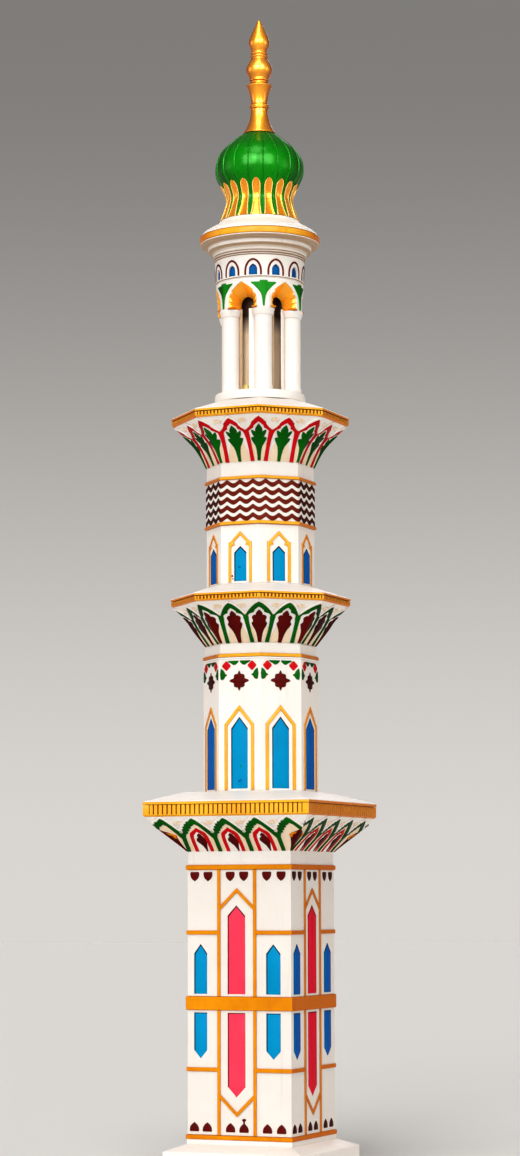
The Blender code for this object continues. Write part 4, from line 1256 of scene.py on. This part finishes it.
def build_lantern_cornice():
    """White mouldings and gilt rim over the drum."""
    mould = in_mm([(160, 0.2), (175.2, 0.2), (175.6, 2.2), (180.6, 2.8), (181.6, 4.8), (180.8, 6.8),
                   (177, 7.6), (177.4, 10), (183.6, 10.8), (185, 13.4), (184.2, 16), (180, 17), (180.6, 19.4),
                   (184.6, 20), (185.6, 29), (189, 37), (194.5, 41), (203, 42.5), (205.6, 45), (205.6, 58),
                   (208, 61.8), (215, 63.5), (224, 64), (232, 66.5), (236.8, 71), (237, 75), (180, 75)],
                  DRUM_TOP)
    turned("cornice_mould", mould, "white_paint", ("lantern_cornice",), edge=0.0008, look="sheltered_white")
    foot = CORNICE_SOFFIT + 0.0002
    rim = [(0.2000, foot), (CORNICE_RADIUS - 0.0030, foot), (CORNICE_RADIUS, foot + 0.0030),
           (CORNICE_RADIUS, CORNICE_RIM_TOP - 0.0050), (CORNICE_RADIUS - 0.0040, CORNICE_RIM_TOP),
           (0.2000, CORNICE_RIM_TOP)]
    turned("cornice_gilt", rim, "gilt_paint", ("lantern_cornice_rim",), edge=0.0018, look="fascia_gold")


def build_core():
    """Core painted tan and darker under the vault as painted shade, with thin piers behind each column whose
    right halves are painted tan as painted shade.
    """
    turned("core", [(CORE_RADIUS, LANTERN_FLOOR), (CORE_RADIUS, ARCADE_TOP)], "white_paint",
           ("lantern_core",), 64, look="core_stone")
    # Left halves of the piers stay white; the right halves are painted tan as painted shade
    for name, start, end, look in (("left_piers", -0.0545, 0.0, "white_paint"),
                                   ("right_piers", 0.0002, 0.0450, "tan")):
        pier = plate(eased(box(start, end, 0, 0.3300), 0.001, True), 0.0, 0.0012, -0.0060)
        items = [(pier, shifted(wall(LANTERN_TURN + BAY_TURN * index, PIER_FACE), 0.0, LANTERN_FLOOR))
                 for index in range(BAYS)]
        lay(name, items, "white_paint", look)
    patch = plate(eased(in_mm(box(-13, 13, 3036, 3067)), 0.001, True), 0.0, 0.0010, -0.020)
    lay("core_patch", [(patch, wall(-12.5, 0.1040))], "cream_paint", "pale_yellow")


def build_lantern():
    """Everything from the step to the gilt rim."""
    edge = STEP_RADIUS - 0.0030
    turned("step", [(edge - 0.0010, UPPER_ROOF_TOP), (edge, UPPER_ROOF_TOP + 0.0030),
                    (edge, STEP_EDGE_TOP - 0.0040), (edge - 0.0015, STEP_EDGE_TOP + 0.0040),
                    (edge - 0.0030, LANTERN_FLOOR)], "white_paint", ("lantern_step",), edge=0.002)
    build_core()
    build_columns()
    build_arcade()
    build_linings()
    build_fans()
    build_drum()
    build_lantern_cornice()


# Dome and finial

DOME_LINE = smooth_outline(in_mm([(156, 0), (147, 21), (134, 59), (129, 93), (146, 138), (169, 179),
                                  (174, 214), (168, 252), (144, 293), (96, 337), (62, 361)], NECK_FOOT), 6)
CROWN_LINE = smooth_outline(in_mm([(23.5, 1), (20.5, 12), (17.6, 28), (15.2, 49), (14.2, 69), (14.6, 89),
                                   (16.2, 110), (16.6, 124), (14.6, 135), (9, 144), (4, 148), (0.6, 150)],
                                  NECK_FOOT), 4)
PETAL_SECTION = ((0.0, 0.0015), (0.35, 0.0018), (0.60, 0.0026), (0.76, 0.0040), (0.86, 0.0052),
                 (0.95, 0.0048), (1.0, 0.0030), (1.0, -0.0020))
LIP_FACES = 3


def dome_radius(height):
    """Radius of the dome at a height."""
    return spot_on(DOME_LINE, [level for _, level in DOME_LINE], height)[0]


def build_dome():
    """White foot and onion dome with thin ribs along its seams."""
    foot = [(0.2365, CORNICE_RIM_TOP + 0.0002), (0.2225, 3.6900), (0.1930, 3.7080), (0.1720, 3.7200),
            (0.1580, NECK_FOOT)]
    turned("dome_foot", smooth_outline(foot, 6), "white_paint", ("dome_base",), edge=0)
    gore = 360 / GORES
    rows = []
    for radius, height in DOME_LINE:
        width = math.degrees(0.0030 / radius)
        rib = ((-1, 0.0), (-0.55, 0.0026), (0, 0.0034), (0.55, 0.0026), (1, 0.0))
        offsets = [(part * width, out) for part, out in rib]
        room = gore - 2 * width
        offsets += [(width + room * step / 8, 0.0008 * math.sin(math.pi * step / 8)) for step in range(1, 8)]
        rows.append([place(GORE_TURN + gore * index + angle, radius + out, 0, height)
                     for index in range(GORES) for angle, out in offsets])
    add_object("onion_dome", *lofted(rows), "dome_green", ("dome",), 60.0)


def build_crown():
    """Eighteen dished petals with raised lips round the neck of the dome; the lips are painted a paler gold
    as painted highlight.
    """
    section = both_sides(PETAL_SECTION)
    count = len(section)
    top = CROWN_LINE[-1][1]
    points = []
    faces = []
    for index in range(GORES):
        middle = GORE_TURN + 360 / GORES * (index + 0.5)
        offset = len(points)
        for half, height in CROWN_LINE:
            radius = dome_radius(height)
            closing = max(0.0, 1 - (top - height) / 0.0080)
            for part, out in section:
                lifted = out + closing * max(0.0, 0.0046 - out) * (abs(part) < 1)
                points.append(place(middle + math.degrees(half * part / radius), radius + lifted, 0, height))
        last = len(points) - count
        for here in range(offset, last):
            if (here - offset + 1) % count:
                faces.append((here, here + 1, here + count + 1, here + count))
        faces.append(tuple(offset + side for side in reversed(range(count))))
        faces.append(tuple(last + side for side in range(count)))
    petals = add_object("crown_petals", points, faces, "finial_gilt", ("dome_petal_crown",), 60.0,
                        "petal_gold")
    petals.data.materials.append(PAINTS["lip_highlight_gold"])
    across = count - 1
    for polygon in petals.data.polygons:
        place_across = polygon.index % (len(faces) // GORES) % across
        on_lip = 1 <= place_across <= LIP_FACES or across - 1 - LIP_FACES <= place_across < across - 1
        polygon.material_index = 1 if on_lip else 0


def build_finial():
    """Glossy turned finial: flared foot, vase, bulb and spear."""
    for name, node, base, foot, curve, head, edge in (
            ("finial_stem", "finial_foot", DOME_TOP, [(64, 0.2), (66.5, 1.5)],
             [(65.5, 4), (49, 34), (38.5, 63), (34.2, 88), (33.6, 103)],
             [(37.2, 105), (39.2, 107.5), (38.5, 110.8)], 0.001),
            ("finial_cup", "finial_vase", FINIAL_FOOT_TOP, [(38.5, 0.2), (40, 3), (39.8, 7), (36.5, 10.5)],
             [(33.8, 13.5), (34, 30), (38.5, 52), (45.5, 72), (52.2, 85)],
             [(53, 87.5), (51.5, 90), (43, 94.2), (38.5, 97)], 0.001),
            ("finial_knop", "finial_bulb", FINIAL_VASE_TOP,
             [(37, 0.2), (35.2, 4.5), (36.2, 9), (40.2, 11.5), (40.8, 15), (39, 18.5)],
             [(38.5, 21.5), (44, 31), (50.5, 43), (52.8, 57), (50, 73), (42, 89), (34, 101)],
             [(32.5, 105), (35.2, 108), (37, 111.5), (35.2, 115), (32, 118.8)], 0.0008),
            ("finial_point", "finial_spear", FINIAL_BULB_TOP,
             [(32, 0.2), (33.8, 3.5), (34.8, 7), (33, 10.5), (30, 13.2)],
             [(30.5, 15.5), (37, 28), (41.2, 41), (41.8, 54), (37.5, 72), (27.5, 96), (17, 119), (7, 140),
              (2.2, 146.5)], [(0, 148)], 0.0008)):
        profile = in_mm(foot + smooth_outline(curve, 5) + head, base)
        turned(name, profile, "finial_gilt", (node,), 64, edge=edge)


# Floor, light and camera

def build_stage():
    """Plain pale floor that the glow from below passes through."""
    bpy.ops.mesh.primitive_circle_add(vertices=64, radius=60, fill_type="NGON", location=(0, 0, -0.0005))
    floor = bpy.context.object
    floor.name = "studio_floor"
    material = bpy.data.materials.new("studio_floor")
    material.use_nodes = True
    tree = material.node_tree
    feed(tree, tree.nodes["Principled BSDF"], {"Base Color": (0.80, 0.79, 0.78, 1), "Roughness": 0.9,
                                               "Specular IOR Level": 0.0})
    floor.data.materials.append(material)
    floor.visible_shadow = False


def build_light():
    """Soft key and top light, weak fills, a glow from below, and two lights that show in glossy paint only.

    Each distant light has its direction as azimuth and elevation, then its strength and spread. The sky
    meets the floor in one tone.
    """
    warm = (1.0, 0.93, 0.84)
    pearl = (1.0, 0.98, 0.94)
    for name, azimuth, elevation, strength, spread, colour in (
            ("key", 12.0, 24.0, 1.00, 18.0, (1.0, 0.985, 0.962)),
            ("ground_glow", 12.0, -22.0, 0.46, 20.0, (1.0, 0.975, 0.94)),
            ("top", 12.0, 60.0, 1.58, 30.0, (1.0, 0.99, 0.975)),
            ("left_sheen", 0.0, 22.0, 3.60, 36.0, pearl),
            ("right_sheen", 45.0, 22.0, 3.60, 36.0, pearl),
            ("right_fill", 95.0, 8.0, 0.50, 25.0, warm),
            ("left_fill", -65.0, 8.0, 0.36, 25.0, warm),
            ("back", 200.0, 25.0, 0.30, 25.0, (0.96, 0.97, 1.0))):
        data = bpy.data.lights.new(name, "SUN")
        data.angle = math.radians(spread)
        data.energy = strength
        data.color = colour
        light = bpy.data.objects.new(name, data)
        bpy.context.collection.objects.link(light)
        light.rotation_euler = (math.radians(90 - elevation), 0, math.radians(azimuth))
        light.visible_diffuse = not name.endswith("sheen")
    world = bpy.data.worlds.new("studio")
    bpy.context.scene.world = world
    world.use_nodes = True
    tree = world.node_tree
    direction = add_node(tree, "ShaderNodeTexCoord").outputs["Generated"]
    rise = remap(tree, split(tree, direction), 0.0, 0.30, interpolation_type="SMOOTHSTEP")
    feed(tree, tree.nodes["Background"], {
        "Color": blend(tree, rise, (0.748, 0.720, 0.690), (0.28, 0.27, 0.26)), "Strength": 1.0})
    bpy.context.scene.view_settings.view_transform = "Standard"
    bpy.context.scene.view_settings.gamma = 0.82


def build_camera():
    """Camera at the photograph's place."""
    data = bpy.data.cameras.new("photo_camera")
    data.sensor_width = 36.0
    data.lens = VIEW_LENS
    data.clip_end = 200.0
    camera = bpy.data.objects.new("photo_camera", data)
    bpy.context.collection.objects.link(camera)
    turn = (Matrix.Rotation(math.radians(VIEW_AZIMUTH + VIEW_YAW), 4, "Z")
            @ Matrix.Rotation(math.radians(90 + VIEW_PITCH), 4, "X")
            @ Matrix.Rotation(math.radians(VIEW_ROLL), 4, "Z"))
    spot = place(VIEW_AZIMUTH, VIEW_DISTANCE, 0, VIEW_HEIGHT)
    camera.matrix_world = Matrix.Translation(spot) @ turn
    bpy.context.scene.camera = camera


def main():
    build_base()
    build_base_paint()
    build_balconies()
    build_lower_petals()
    build_middle_petals()
    build_upper_petals()
    build_stages()
    build_window_paint()
    build_garland()
    build_stripes()
    build_lantern()
    build_dome()
    build_crown()
    build_finial()
    build_stage()
    build_light()
    build_camera()


main()
